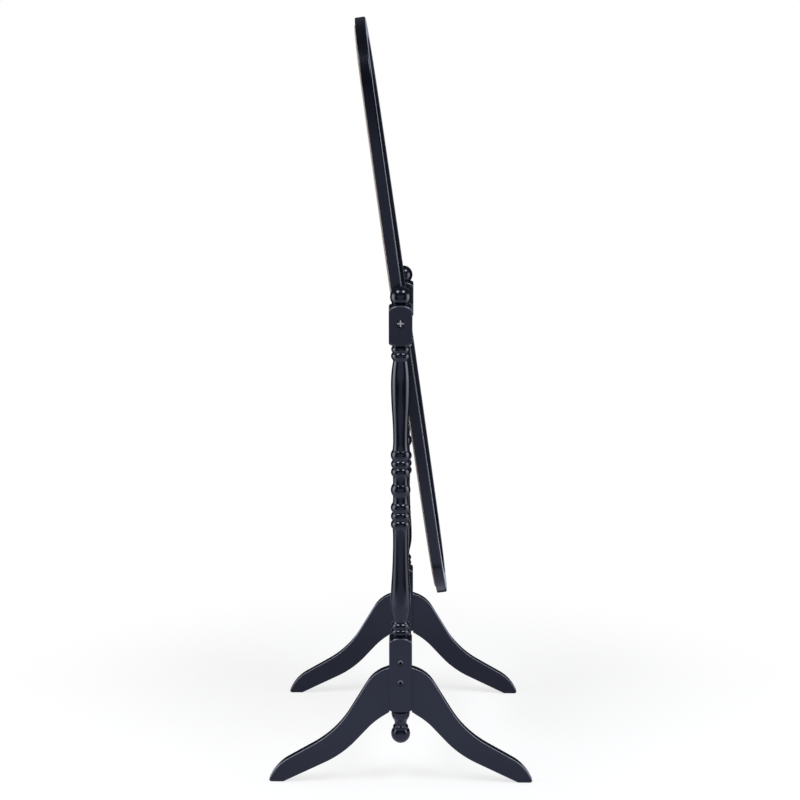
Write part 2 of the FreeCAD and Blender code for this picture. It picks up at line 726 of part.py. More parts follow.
def pivot_bolt():
    """Bolt that the mirror turns on, with a crowned head and a cross recess at its -X end."""
    seat = "dims.pivot_sink - dims.block_width / 2 - dims.washer_thickness"
    rim = f"{seat} - dims.pivot_head_rim"
    top = f"{rim} - dims.pivot_head_crown"
    reach = f"dims.seat_offset + dims.insert_length - dims.pivot_tail_gap - ({seat})"
    wide = "dims.pivot_head_diameter"
    head = rod("pivot_head", "x", wide, "dims.pivot_head_rim", (rim, "0", "0"))
    shank = rod("pivot_shank", "x", "dims.pivot_diameter", reach, (seat, "0", "0"))
    crown = cone("pivot_crown", "x", f"{wide} - 2 * dims.pivot_head_crown", wide, "dims.pivot_head_crown",
                 (top, "0", "0"))
    recess = cross_recess("pivot_recess", "x", "pivot", (top, "0", "0"))
    return cut("pivot_bolt", fuse("pivot_blank", [head, crown, shank]), recess)


def make_pivots():
    """Each side's bushing and washer in the post, and the bolt, spacer and insert of the mirror."""
    seat = "dims.pivot_sink - dims.block_width / 2"
    running = "dims.pivot_diameter + 2 * dims.pivot_clearance"
    loose = "dims.pivot_diameter + 2 * dims.drill_clearance"
    inner_face = "dims.block_width / 2"
    pieces = {
        "pivot_bushing": tube("bushing", "dims.bushing_diameter", running, f"{inner_face} - ({seat})", seat),
        "pivot_washer": tube("washer", "dims.washer_diameter", running, "dims.washer_thickness",
                             f"{seat} - dims.washer_thickness"),
        "pivot_spacer": tube("spacer", "dims.spacer_diameter", loose, f"dims.seat_offset - {inner_face}",
                             inner_face),
        "pivot_insert": tube("insert", "dims.insert_diameter", loose, "dims.insert_length",
                             "dims.seat_offset"),
        "pivot_bolt": pivot_bolt(),
    }
    for side in SIDES:
        for name, piece in pieces.items():
            copy = group(f"{side}_{name}_piece", [piece])
            node(on_side(copy, side, "dims.pivot_level"), f"{side}_{name}")


def half_oval(sketch, inset):
    """Right half of an oval at an inset from the frame's edge: its three arcs, from the foot up."""
    drop = size(inset) if inset else 0.0
    side, end = size("side_radius") - drop, size("end_radius") - drop
    centre, rise = Vector(-size("side_centre"), 0, 0), Vector(0, size("end_centre"), 0)
    lean = math.atan2(size("end_centre"), size("side_centre"))
    up = Vector(0, 0, 1)
    arcs = [
        Part.ArcOfCircle(Part.Circle(-rise, up, end), -math.pi / 2, -lean),
        Part.ArcOfCircle(Part.Circle(centre, up, side), -lean, lean),
        Part.ArcOfCircle(Part.Circle(rise, up, end), lean, math.pi / 2),
    ]
    foot, flank, crown = (sketch.addGeometry(arc) for arc in arcs)
    less = f" - dims.{inset}" if inset else ""
    half_length = f"dims.frame_length / 2{less}"
    bind(sketch, [
        (Sketcher.Constraint("Tangent", foot, 2, flank, 1), None),
        (Sketcher.Constraint("Tangent", flank, 2, crown, 1), None),
        on_axis((foot, 3), "upright"), on_axis((foot, 1), "upright"),
        on_axis((crown, 3), "upright"), on_axis((crown, 2), "upright"),
        on_axis((flank, 3), "level"),
        step_y((foot, 1), sketch_middle(), half_length), step_y(sketch_middle(), (crown, 2), half_length),
        step_x((flank, 3), sketch_middle(), "dims.side_centre"),
        (Sketcher.Constraint("Radius", flank, side), f"dims.side_radius{less}"),
    ])
    return (foot, 1), (crown, 2)


def join(sketch, start, end):
    """Straight line between two (geometry, vertex) ends."""
    line = sketch.addGeometry(Part.LineSegment(sketch.getPoint(*start), sketch.getPoint(*end)))
    bind(sketch, [
        (Sketcher.Constraint("Coincident", *start, line, 1), None),
        (Sketcher.Constraint("Coincident", *end, line, 2), None),
    ])


def oval_sketch(body, name, back, outer, inner=None):
    """Half of an oval plate, or of a ring if it has an inner oval, drawn at the level of its back."""
    sketch = new_sketch(body, "XZ_Plane", name, f"-({back})")
    foot, crown = half_oval(sketch, outer)
    if inner:
        inner_foot, inner_crown = half_oval(sketch, inner)
        join(sketch, crown, inner_crown)
        join(sketch, inner_foot, foot)
    else:
        join(sketch, crown, foot)
    return sketch


def mirror_halves(body, name, halves):
    """Adds the left half of what was drawn on the right."""
    both = body.newObject("PartDesign::Mirrored", name)
    both.Originals = halves
    both.MirrorPlane = (origin_plane(body, "YZ_Plane"), [""])
    body.Tip = both


def oval_plate(name, back, thickness, outer, inner=None):
    """Oval plate or ring that reaches forward from its back."""
    body = doc.addObject("PartDesign::Body", name)
    half = pad(body, oval_sketch(body, f"{name}_outline", back, outer, inner), f"{name}_half", thickness)
    mirror_halves(body, f"{name}_whole", [half])
    return body


def screw_spots():
    """Places of the backing screws: along both sides, then round both ends, as expressions."""
    ring = "(dims.side_radius - dims.screw_inset)"
    arc = "(dims.end_radius - dims.screw_inset)"
    spots = []
    for row in (-1.5, -0.5, 0.5, 1.5):
        level = f"{row} * dims.screw_pitch"
        reach = f"(sqrt({ring}^2 - ({level})^2) - dims.side_centre)"
        spots += [(reach, level), (f"-{reach}", level)]
    for end in (1, -1):
        for turn in (-1, 0, 1):
            angle = f"({turn} * dims.screw_end_angle * 1deg)"
            spots.append((f"{arc} * sin({angle})", f"{end} * (dims.end_centre + {arc} * cos({angle}))"))
    return spots


def frame_blank():
    """The oval ring with its rabbet and its rounded edges, before it is drilled."""
    body = doc.addObject("PartDesign::Body", "frame_blank")
    back = "dims.frame_thickness / 2"
    outline = oval_sketch(body, "ring_outline", back, None, "frame_face")
    ring = pad(body, outline, "ring_half", "dims.frame_thickness")
    doc.recompute()
    rabbet = body.newObject("PartDesign::Pocket", "rabbet_half")
    rabbet.Profile = oval_sketch(body, "rabbet_outline", back, "rabbet_inset")
    rabbet.Reversed = True
    rabbet.setExpression("Length", "dims.rabbet_depth")
    mirror_halves(body, "ring_whole", [ring, rabbet])
    front = -size("frame_thickness") / 2
    outside = (size("side_radius"), size("end_radius"))
    inside = tuple(radius - size("frame_face") for radius in outside)

    def lies_on(edge, level, radii):
        box = edge.BoundBox
        if abs(box.YMin - level) > NEAR or abs(box.YMax - level) > NEAR:
            return False
        return any(abs(edge.Curve.Radius - radius) < NEAR for radius in radii)

    round_edges(body, "front_edge", "dims.front_round", lambda edge: lies_on(edge, front, outside))
    round_edges(body, "inner_edge", "dims.inner_round", lambda edge: lies_on(edge, front, inside))
    round_edges(body, "back_edge", "dims.back_round", lambda edge: lies_on(edge, -front, outside))
    return body


def make_mirror():
    """Frame, glass, cushion strip, backing board and screws, drawn upright about the oval's centre."""
    back = "dims.frame_thickness / 2"
    surface = f"{back} + dims.backing_thickness"
    fit = "2 * dims.drill_clearance"
    shank_hole, head_hole = f"dims.screw_diameter + {fit}", f"dims.screw_head_diameter + {fit}"
    pilot_depth = "dims.screw_length + dims.hole_end_gap"
    pilots, sunk_holes, screws = [], [], []
    for index, (x, z) in enumerate(screw_spots()):
        tip, neck, slot = (
            (x, f"{surface} - dims.screw_{depth}", z) for depth in ("length", "head_height", "cross_depth")
        )
        foot = (x, f"{surface} - ({pilot_depth})", z)
        pilot = rod(f"pilot_{index}", "y", shank_hole, pilot_depth, foot)
        sink = cone(f"screw_sink_{index}", "y", shank_hole, head_hole, "dims.screw_head_height", neck)
        shank = rod(f"screw_shank_{index}", "y", "dims.screw_diameter", "dims.screw_length", tip)
        head = cone(f"screw_head_{index}", "y", "dims.screw_diameter", "dims.screw_head_diameter",
                    "dims.screw_head_height", neck)
        recess = cross_recess(f"screw_recess_{index}", "y", "screw", slot)
        pilots.append(pilot)
        sunk_holes.append(fuse(f"sunk_hole_{index}", [pilot, sink]))
        screws.append(cut(f"screw_{index}", fuse(f"screw_blank_{index}", [shank, head]), recess))
    sockets = []
    seat = "(dims.frame_width / 2 - dims.seat_depth)"
    hole, depth = f"dims.insert_diameter + {fit}", "dims.insert_length + dims.hole_end_gap"
    wide = "dims.spacer_diameter + 2 * dims.seat_margin"
    for side, start, face in (("left", f"-{seat}", f"-{seat} - dims.pivot_gap"),
                              ("right", f"{seat} - ({depth})", seat)):
        inner, outer = ((x, "0", "dims.pivot_offset") for x in (start, face))
        sockets.append(rod(f"{side}_insert_hole", "x", hole, depth, inner))
        sockets.append(rod(f"{side}_spot_face", "x", wide, "dims.pivot_gap", outer))
    drills = fuse("frame_drills", sockets + pilots)
    backing = oval_plate("backing_plate", surface, "dims.backing_thickness", "backing_inset")
    glass_back = f"{back} - dims.rabbet_depth + dims.glass_thickness"
    cushion = "dims.rabbet_depth - dims.glass_thickness"
    pieces = {
        "mirror_frame": cut("frame_wood", frame_blank(), drills),
        "mirror_glass": oval_plate("glass_plate", glass_back, "dims.glass_thickness", "glass_inset"),
        "glass_cushion": oval_plate("cushion_ring", back, cushion, "glass_inset", "cushion_inset"),
        "backing_board": cut("backing_sheet", backing, group("sunk_holes", sunk_holes)),
        "backing_screws": group("screw_set", screws),
    }
    for label, piece in pieces.items():
        node(with_mirror(piece), label)


def check_document():
    """Stops if a feature failed or a piece is not sound."""
    for thing in doc.Objects:
        if "Invalid" in thing.State or "Error" in thing.State:
            raise RuntimeError(f"{thing.Label} failed: {thing.State}")
    for piece in nodes:
        if piece.Shape.isNull() or not piece.Shape.isValid() or not piece.Shape.Solids:
            raise RuntimeError(f"{piece.Label} is not a sound solid")


def write_pieces():
    """Writes each piece to a file of its own name."""
    os.makedirs("parts", exist_ok=True)
    for piece in nodes:
        piece.Shape.exportStep(f"parts/{piece.Label}.step")
        box = piece.Shape.optimalBoundingBox(True, False)
        print(f"{piece.Label}: {len(piece.Shape.Solids)} solid(s), {piece.Shape.Volume / 1000:.2f} cm3,"
              f" x {box.XMin:.1f} to {box.XMax:.1f}, y {box.YMin:.1f} to {box.YMax:.1f},"
              f" z {box.ZMin:.1f} to {box.ZMax:.1f}")


fill_sheet()
make_posts()
make_legs()
make_stretcher()
make_stretcher_fasteners()
make_pivots()
make_mirror()
doc.recompute()
check_document()
write_pieces()
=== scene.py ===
# %% [markdown]
# # Cheval mirror
# A cheval mirror is a long mirror that hangs between two turned posts and tilts about a level axis.
# The imported CAD part gives its sizes and its two bodies, the stand and the mirror. This lesson gives
# it its looks: black lacquered wood, raw board, silvered glass and small hardware, and then a camera
# and lights. The first cell loads the part, and a helper reads each part's box from its mesh. The
# looks must not outgrow it.

# %% Load the frame
import json
import math

import bmesh
import bpy
import numpy as np
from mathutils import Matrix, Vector


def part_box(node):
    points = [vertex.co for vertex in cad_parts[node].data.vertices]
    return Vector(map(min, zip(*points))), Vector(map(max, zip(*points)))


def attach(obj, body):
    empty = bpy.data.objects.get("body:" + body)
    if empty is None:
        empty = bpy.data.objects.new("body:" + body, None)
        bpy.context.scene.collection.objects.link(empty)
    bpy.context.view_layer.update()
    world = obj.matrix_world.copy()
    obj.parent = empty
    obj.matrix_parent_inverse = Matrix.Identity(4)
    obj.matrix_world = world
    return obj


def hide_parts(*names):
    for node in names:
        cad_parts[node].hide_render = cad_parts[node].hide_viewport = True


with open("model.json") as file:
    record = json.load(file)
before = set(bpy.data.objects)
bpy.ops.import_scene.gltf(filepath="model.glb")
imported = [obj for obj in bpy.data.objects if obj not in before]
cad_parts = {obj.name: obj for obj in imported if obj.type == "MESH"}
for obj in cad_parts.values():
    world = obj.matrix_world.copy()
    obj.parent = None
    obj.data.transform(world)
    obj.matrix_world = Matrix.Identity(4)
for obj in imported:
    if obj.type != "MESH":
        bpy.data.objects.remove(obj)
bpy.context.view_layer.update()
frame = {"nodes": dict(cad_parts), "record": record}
MM = 0.001

# %% [markdown]
# ## Surfaces from arrays
# Each new piece is a grid of points that numpy works out in one go. A turned piece closes on itself in
# one direction and ends in a point at both poles, so its faces are a wrapped grid of four-sided faces
# with a fan of triangles at each end. A ring closes on itself in both directions and needs no fans.

# %% Faces of a grid
def tube_faces(rows, columns):
    """Faces of a closed tube: row i, column j meets row i + 1, column j + 1, and the poles come last."""
    grid = np.arange(rows * columns).reshape(rows, columns)
    beside = np.roll(grid, -1, axis=1)
    quads = np.stack([grid[:-1], beside[:-1], beside[1:], grid[1:]], axis=-1).reshape(-1, 4)
    foot, head = rows * columns, rows * columns + 1
    foot_fan = np.stack([np.full(columns, foot), beside[0], grid[0]], axis=-1)
    head_fan = np.stack([np.full(columns, head), grid[-1], beside[-1]], axis=-1)
    return quads.tolist() + foot_fan.tolist() + head_fan.tolist()


def ring_faces(rows, columns):
    """Faces of a ring that closes on itself both ways: the last row meets the first, as columns do."""
    grid = np.arange(rows * columns).reshape(rows, columns)
    beside, along = np.roll(grid, -1, axis=1), np.roll(grid, -1, axis=0)
    across = np.roll(beside, -1, axis=0)
    return np.stack([grid, beside, across, along], axis=-1).reshape(-1, 4).tolist()


print("smallest tube", len(tube_faces(2, 3)), "faces, smallest ring", len(ring_faces(3, 3)), "faces")

# %% [markdown]
# A finished piece sits at the origin with its place in its mesh, as the CAD nodes do, so that a pattern
# on Object coordinates stays where it is. It rides on a body and moves with it, and says which CAD nodes
# it stands for.

# %% Pieces
def new_object(name, points, faces):
    """Object at the origin whose smooth mesh has these points and faces."""
    mesh = bpy.data.meshes.new(name)
    mesh.from_pydata(points, [], faces)
    mesh.polygons.foreach_set("use_smooth", np.ones(len(mesh.polygons), dtype=bool))
    mesh.update()
    made = bpy.data.objects.new(name, mesh)
    bpy.context.scene.collection.objects.link(made)
    return made


def add_piece(piece, body, slot, *nodes):
    """Lets a finished piece ride on its body and stand for CAD nodes; its slot is not used."""
    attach(piece, body)
    if nodes:
        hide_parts(*nodes)
    print(piece.name, len(piece.data.polygons), "faces on", body, "for", nodes)


# %% [markdown]
# ## The posts' turned outline
# A post starts as a square stick. The wood turner leaves two blocks square and cuts beads, coves and
# long tapers between them. A drawn curve could be spun, but a list of members is easier to read and to
# change. It goes from the drop at the foot to the ball on top, and gives each member's form, its height,
# the radius at its foot and a number for its shape, all in millimetres.
# A bead swells out by its last number and a cove sinks in by it. An ogee is two arcs that are upright at
# their outer ends and meet at that share of the height. A flare is upright at its foot and a settle at
# its head. A dome ends on the axis. A block's outline lies just outside the stick's corners, so the
# block stays square.

# %% Outline members
BLANK = 31.6
MEMBERS = [
    ("drop_ball", "dome_foot", 30.5, 0.0, None),
    ("drop_bead", "bead", 7.0, 14.6, 1.4),
    ("drop_waist", "line", 2.5, 12.0, None),
    ("drop_flare", "ogee", 20.0, 11.6, 0.5),
    ("drop_collar", "line", 5.0, 18.0, None),
    ("drop_chamfer", "line", 2.5, 18.0, None),
    ("drop_groove", "line", 1.5, 14.0, None),
    ("lower_foot", "bead", 4.5, 20.0, 0.5),
    ("lower_block", "line", 134.0, BLANK, None),
    ("lower_head", "bead", 13.0, BLANK, 2.0),
    ("foot_bead_low", "bead", 11.5, 15.3, 2.9),
    ("foot_bead_high", "bead", 12.0, 15.2, 2.9),
    ("vase_neck", "line", 2.5, 15.0, None),
    ("vase_flare", "ogee", 41.0, 13.7, 0.3),
    ("vase_taper", "ogee", 122.1, 19.1, 0.3),
    ("vase_throat", "flare", 21.0, 14.7, None),
    ("mid_bead_low", "bead", 16.0, 15.4, 3.5),
    ("mid_bead_centre", "bead", 16.0, 15.3, 3.4),
    ("mid_bead_high", "bead", 18.0, 15.3, 3.7),
    ("lower_spool", "cove", 14.0, 15.2, 0.3),
    ("barrel", "bead", 23.0, 14.7, 4.2),
    ("upper_spool", "cove", 15.0, 14.7, 0.3),
    ("crown_bead_low", "bead", 16.0, 15.1, 3.4),
    ("crown_bead_centre", "bead", 15.0, 15.2, 3.3),
    ("crown_bead_high", "bead", 19.5, 15.2, 3.6),
    ("column_throat", "settle", 17.5, 15.5, None),
    ("column_swell", "ogee", 107.9, 14.3, 0.5),
    ("column_shoulder", "flare", 45.0, 18.4, None),
    ("head_neck", "line", 2.5, 14.2, None),
    ("head_bead_low", "bead", 13.5, 15.3, 2.9),
    ("head_bead_high", "bead", 12.0, 15.2, 2.6),
    ("upper_foot", "bead", 12.0, 15.3, 1.7),
    ("upper_block", "line", 53.0, BLANK, None),
    ("upper_head", "bead", 15.0, BLANK, 2.6),
    ("ball_groove", "line", 1.0, 15.4, None),
    ("ball", "dome_head", 31.0, 16.6, None),
]
print("post height", sum(member[2] for member in MEMBERS), "mm")

# %% [markdown]
# Every member is a straight line or an arc through its two ends, so it comes down to four numbers: its
# rise, its two radii, and how far the arc bulges from the chord between its ends.

# %% Members as arcs
def upright_bulge(rise, spread):
    """Bulge of an arc that is upright at one end: R - sqrt(R^2 - c^2 / 4), with R = c^2 / (2 spread)."""
    chord = math.hypot(rise, spread)
    bend = chord**2 / (2 * abs(spread))
    return bend - math.sqrt(bend**2 - chord**2 / 4)


def member_arcs():
    """Each member as one or two (rise, foot radius, head radius, bulge) arcs."""
    arcs = []
    heads = [member[3] for member in MEMBERS[1:]] + [0.0]
    for (_, form, rise, foot, shape), head in zip(MEMBERS, heads):
        if form == "ogee":
            middle = foot + (head - foot) * shape
            halves = ((shape, foot, middle, -1), (1 - shape, middle, head, 1))
            for part, first, last, side in halves:
                sign = side if last > first else -side
                arcs.append((rise * part, first, last, sign * upright_bulge(rise * part, last - first)))
        elif form in ("flare", "settle"):
            sign = 1 if (form == "settle") == (head > foot) else -1
            arcs.append((rise, foot, head, sign * upright_bulge(rise, head - foot)))
        elif form in ("dome_foot", "dome_head"):
            arcs.append((rise, foot, head, upright_bulge(head - foot, rise)))
        else:
            bulge = {"bead": shape, "cove": -(shape or 0), "line": 0.0}[form]
            arcs.append((rise, foot, head, bulge))
    return arcs


print(len(member_arcs()), "arcs from", len(MEMBERS), "members")

# %% [markdown]
# The arcs become points that lie close together. Sprayed lacquer fills the sharp grooves a little, so
# the outline is smoothed over a third of a millimetre. A mesh needs few rows on a long taper and many in
# a groove, so the rows that are kept crowd where the outline bends.

# %% Outline as rows
PAINT_FILL = 0.35
FILL_REACH = 4
DENSE_STEP = 0.1
POINTS_A_STEP, FEWEST_POINTS = 1.6, 3


def arc_points(level, rise, foot, head, bulge):
    """Points (height, radius) on an arc: chord + normal * (sqrt(R^2 - d^2) - (R - |bulge|)) * sign."""
    chord = math.hypot(rise, head - foot)
    count = max(FEWEST_POINTS, int(POINTS_A_STEP * chord / DENSE_STEP))
    along = np.linspace(0, 1, count, endpoint=False)
    height, radius = level + rise * along, foot + (head - foot) * along
    if bulge:
        bend = (chord**2 / 4 + bulge**2) / (2 * abs(bulge))
        offset = np.sqrt(bend**2 - (chord * (along - 0.5))**2) - (bend - abs(bulge))
        offset *= math.copysign(1, bulge) / chord
        height, radius = height - (head - foot) * offset, radius + rise * offset
    return np.stack([height, radius])


def spread_rows(curve, sparse, keen, most):
    """Rows along a curve, with sparse + min(keen * bend, most) of them for each millimetre."""
    step = np.hypot(*np.diff(curve, axis=1))
    run = np.concatenate([[0], np.cumsum(step)])
    heading = np.unwrap(np.arctan2(*np.gradient(curve, axis=1)[::-1]))
    bend = np.abs(np.gradient(heading, run))
    share = np.concatenate([[0], np.cumsum((sparse + np.minimum(keen * bend, most))[1:] * step)])
    rows = np.interp(np.linspace(0, share[-1], int(share[-1])), share, run)
    return np.stack([np.interp(rows, run, axis) for axis in curve])


def turned_outline():
    """The outline as (height, radius) rows in metres, smoothed by a mean under a bell curve."""
    pieces, level = [], 0.0
    for rise, foot, head, bulge in member_arcs():
        pieces.append(arc_points(level, rise, foot, head, bulge))
        level += rise
    curve = np.concatenate(pieces + [[[level], [0.0]]], axis=1)
    run = np.concatenate([[0], np.cumsum(np.hypot(*np.diff(curve, axis=1)))])
    even = np.arange(0, run[-1], DENSE_STEP)
    curve = np.stack([np.interp(even, run, axis) for axis in curve])
    reach = int(FILL_REACH * PAINT_FILL / DENSE_STEP)
    weight = np.exp(-0.5 * (np.arange(-reach, reach + 1) * DENSE_STEP / PAINT_FILL)**2)
    weight /= weight.sum()
    for axis, parity in enumerate(("even", "odd")):
        ends = np.pad(curve[axis], reach, mode="reflect", reflect_type=parity)
        curve[axis] = np.convolve(ends, weight, mode="valid")
    return spread_rows(curve, sparse=0.22, keen=8.0, most=2.5) * MM


outline = turned_outline()
print("outline rows", outline.shape[1], "widest", outline[1].max())

# %% [markdown]
# ## The posts
# The lathe can't cut where the square stick has no wood, so a post's radius is the smaller of the turned
# outline and the rounded square, measured from the axis. A boolean of the two would give the same form
# with hard edges. A smooth minimum eases the arched edges where they meet, as sanding and paint do, and
# those eased edges are what catches the light. The grid's columns crowd at the square's four corners.

# %% Square and smooth minimum
BLOCK = 22.0 * MM
ARRIS = 1.8 * MM
EASED = 2.4 * MM
COLUMNS_A_CORNER = 28
CROWDING = 1.8


def corner_angles():
    """Angles round the axis: 45 degrees * t^1.8 either side of each corner, so they crowd there."""
    share = np.arange(-COLUMNS_A_CORNER // 2, COLUMNS_A_CORNER // 2) / (COLUMNS_A_CORNER / 2)
    off_corner = math.pi / 4 * np.sign(share) * np.abs(share)**CROWDING
    return (off_corner + math.pi / 4 + np.arange(4)[:, None] * math.pi / 2).ravel()


def square_radius(angles):
    """Distance from the axis to a square with rounded corners: the flat side, or the corner's arc."""
    turn = np.abs((angles + math.pi / 4) % (math.pi / 2) - math.pi / 4)
    flat = BLOCK / np.cos(turn)
    centre = (BLOCK - ARRIS) * math.sqrt(2)
    off = math.pi / 4 - turn
    arc = centre * np.cos(off) + np.sqrt(np.maximum(ARRIS**2 - (centre * np.sin(off))**2, 0))
    on_arc = BLOCK * np.tan(turn) > BLOCK - ARRIS
    return np.where(on_arc, arc, flat)


def smooth_min(first, second, width):
    """The smaller of two arrays, eased by width * h^2 / 4 where they differ by less than the width."""
    near = np.maximum(width - np.abs(first - second), 0) / width
    return np.minimum(first, second) - width * near**2 / 4


print("block's reach", square_radius(corner_angles()).max(), "on", 4 * COLUMNS_A_CORNER, "columns")

# %% [markdown]
# The bolts sit in drilled holes. A drill's path is a turned shape too, so the function that turns the
# posts also makes a bore, laid along X, and a boolean takes it away. The cut leaves edges of about a
# thousandth of a millimetre, which are merged so that the piece stays closed.

# %% Lathe and bores
CRUMB = 0.002 * MM
HOLE_TURNS = 64
CRISP_RIM = math.radians(60)


def lathe(heights, radii, angles):
    """Points (r cos a, r sin a, height) of a turned piece, with a pole at each end."""
    ring = np.stack([np.cos(angles), np.sin(angles)])
    points = np.empty((len(heights), len(angles), 3))
    points[..., 0], points[..., 1] = radii * ring[0], radii * ring[1]
    points[..., 2] = heights[:, None]
    poles = [[0, 0, heights[0]], [0, 0, heights[-1]]]
    return np.concatenate([points.reshape(-1, 3), poles])


def bore(name, steps, height):
    """Cutter for a round hole along X at a height: steps of (x, radius) from its floor outwards."""
    rising = steps if steps[0][0] < steps[-1][0] else steps[::-1]
    x, radius = np.array(rising).T
    ends = np.concatenate([x[:1], x, x[-1:]])
    rings = np.concatenate([radius[:1] / 2, radius, radius[-1:] / 2])[:, None]
    local = lathe(ends, rings, np.linspace(0, 2 * math.pi, HOLE_TURNS, endpoint=False))
    points = np.stack([local[:, 2], local[:, 0], local[:, 1] + height], axis=1)
    return new_object(name, points, tube_faces(len(ends), HOLE_TURNS))


def cut_holes(piece, cutters):
    """Takes the cutters away from a piece for good, merges the cut's crumbs and keeps the rims crisp."""
    for cutter in cutters:
        hole = piece.modifiers.new(cutter.name, "BOOLEAN")
        hole.object, hole.operation, hole.solver = cutter, "DIFFERENCE", "EXACT"
    shown = piece.evaluated_get(bpy.context.evaluated_depsgraph_get())
    mesh = bpy.data.meshes.new_from_object(shown)
    piece.modifiers.clear()
    cleaner = bmesh.new()
    cleaner.from_mesh(mesh)
    bmesh.ops.remove_doubles(cleaner, verts=cleaner.verts, dist=CRUMB)
    bmesh.ops.dissolve_degenerate(cleaner, edges=cleaner.edges, dist=CRUMB)
    cleaner.to_mesh(mesh)
    cleaner.free()
    piece.data = mesh
    mesh.set_sharp_from_angle(angle=CRISP_RIM)
    for cutter in cutters:
        bpy.data.objects.remove(cutter)


print("holes have", HOLE_TURNS, "sides, and crumbs under", CRUMB, "m are merged")

# %% [markdown]
# A post's place and height come from its CAD node, and its holes from the bolts and the washer that sit
# in them. The stretcher bolts are sunk into the lower block, and the pivot's washer sits at the floor of
# the hole in the upper block.

# %% Posts
BOLT_SINK = 8.0 * MM
SINK_ROOM = 0.75 * MM
PAST = 2.0 * MM


def turn_post(side):
    """One post: r = smooth minimum of the turned outline and the square, with its outer face's holes."""
    low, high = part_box(f"{side}_post")
    middle = (low[0] + high[0]) / 2
    heights = low[2] + (outline[0] - outline[0, 0]) * (high[2] - low[2]) / np.ptp(outline[0])
    angles = corner_angles()
    radii = smooth_min(outline[1][1:-1, None], square_radius(angles)[None], EASED)
    points = lathe(heights[1:-1], np.maximum(radii, 0.0), angles)
    points[-2:, 2] = heights[[0, -1]]
    points[:, 0] += middle
    piece = new_object(f"{side}_post_turned", points, tube_faces(len(heights) - 2, len(angles)))
    outward = math.copysign(1, middle)
    face = middle + outward * BLOCK
    bolt_low, bolt_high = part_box(f"{side}_stretcher_bolts")
    head = (bolt_high[1] - bolt_low[1]) / 2
    washer_low, washer_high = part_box(f"{side}_pivot_washer")
    washer = (washer_high[1] - washer_low[1]) / 2
    seat = washer_high[0] if outward < 0 else washer_low[0]
    holes = [
        (face - outward * BOLT_SINK, bolt_low[2] + head, head + SINK_ROOM),
        (face - outward * BOLT_SINK, bolt_high[2] - head, head + SINK_ROOM),
        (seat, (washer_low[2] + washer_high[2]) / 2, washer + SINK_ROOM),
    ]
    cutters = []
    for index, (depth, height, radius) in enumerate(holes):
        steps = [(depth, radius), (face + outward * PAST, radius)]
        cutters.append(bore(f"{side}_hole_{index}", steps, height))
    cut_holes(piece, cutters)
    add_piece(piece, "stand", "black_paint", f"{side}_post")
    return piece


posts = [turn_post(side) for side in ("left", "right")]

# %% [markdown]
# ## The stretcher bolts' heads
# The face of each furniture bolt is dished: it falls from a rim to the socket, and its upper half shows
# as a small bright crescent in the sunk hole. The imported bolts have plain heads, and a bump in the
# material would be too shallow to catch the light. So a dished ring goes in front of each head, one
# closed profile turned about the bolt's axis.

# %% Bolt heads
SOCKET_RADIUS = 2.8 * MM
RIM_RISE, RIM_WIDTH, DISH_FLOOR = 0.9 * MM, 0.25 * MM, 0.2 * MM
DISH_TURNS = 64
CRISP_DISH = math.radians(20)


def dish_section(radius):
    """Closed profile (radius, rise): up the outside, over the rim, down the dish and back under it."""
    reach = [radius, radius, radius - RIM_WIDTH, SOCKET_RADIUS, SOCKET_RADIUS]
    return np.array([reach, [0.0, RIM_RISE, RIM_RISE, DISH_FLOOR, 0.0]])


def dished_heads(side):
    """Both dished rings of one post: x = seat + rise outwards, the radius turned about each bolt's axis."""
    low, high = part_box(f"{side}_stretcher_bolts")
    radius = (high[1] - low[1]) / 2
    outward, seat = (-1, low[0]) if side == "left" else (1, high[0])
    reach, rise = dish_section(radius)
    turn = -outward * np.linspace(0, 2 * math.pi, DISH_TURNS, endpoint=False)[:, None]
    points, faces = [], []
    for index, level in enumerate((low[2] + radius, high[2] - radius)):
        ring = np.stack(np.broadcast_arrays(
            seat + outward * rise, reach * np.cos(turn), level + reach * np.sin(turn)), axis=-1)
        points.append(ring.reshape(-1, 3))
        faces += (np.array(ring_faces(DISH_TURNS, len(rise))) + index * ring[..., 0].size).tolist()
    piece = new_object(f"{side}_bolt_heads", np.concatenate(points), faces)
    piece.data.set_sharp_from_angle(angle=CRISP_DISH)
    add_piece(piece, "stand", "black_steel")
    return piece


bolt_heads = [dished_heads(side) for side in ("left", "right")]

# %% [markdown]
# ## The mirror's frame
# The frame is an oval ring. A router runs round it and eases its edges, so the same section lies square
# to the oval everywhere: a profile carried along a path. A bevelled solid would look alike, but its long
# thin triangles take the gloss unevenly. Each corner of the section is given as its inset from the oval,
# its depth towards the back and the radius of its eased edge, in millimetres. Extra points beside each
# eased edge keep the flat faces flat to the light.

# %% Frame section
EDGE_MARGIN = 0.6 * MM
EDGE_POINTS = 9
SECTION_CORNERS = np.array([
    [0.0, 10.0, 1.0],
    [30.0, 10.0, 0.4],
    [30.0, 4.0, 0.3],
    [38.0, 4.0, 0.5],
    [38.0, -10.0, 1.5],
    [0.0, -10.0, 3.0],
]) * MM


def frame_section():
    """Closed profile (inset, depth): corner + r (1 - sin t) a + r (1 - cos t) b, a and b its two sides."""
    corner, radius = SECTION_CORNERS[:, None, :2], SECTION_CORNERS[:, None, 2:]
    before, after = np.roll(corner, 1, axis=0) - corner, np.roll(corner, -1, axis=0) - corner
    before /= np.linalg.norm(before, axis=2, keepdims=True)
    after /= np.linalg.norm(after, axis=2, keepdims=True)
    turn = np.linspace(0, math.pi / 2, EDGE_POINTS)[None, :, None]
    eased = corner + radius * ((1 - np.sin(turn)) * before + (1 - np.cos(turn)) * after)
    enter = corner + (radius + EDGE_MARGIN) * before
    leave = corner + (radius + EDGE_MARGIN) * after
    return np.concatenate([enter, eased, leave], axis=1).reshape(-1, 2)


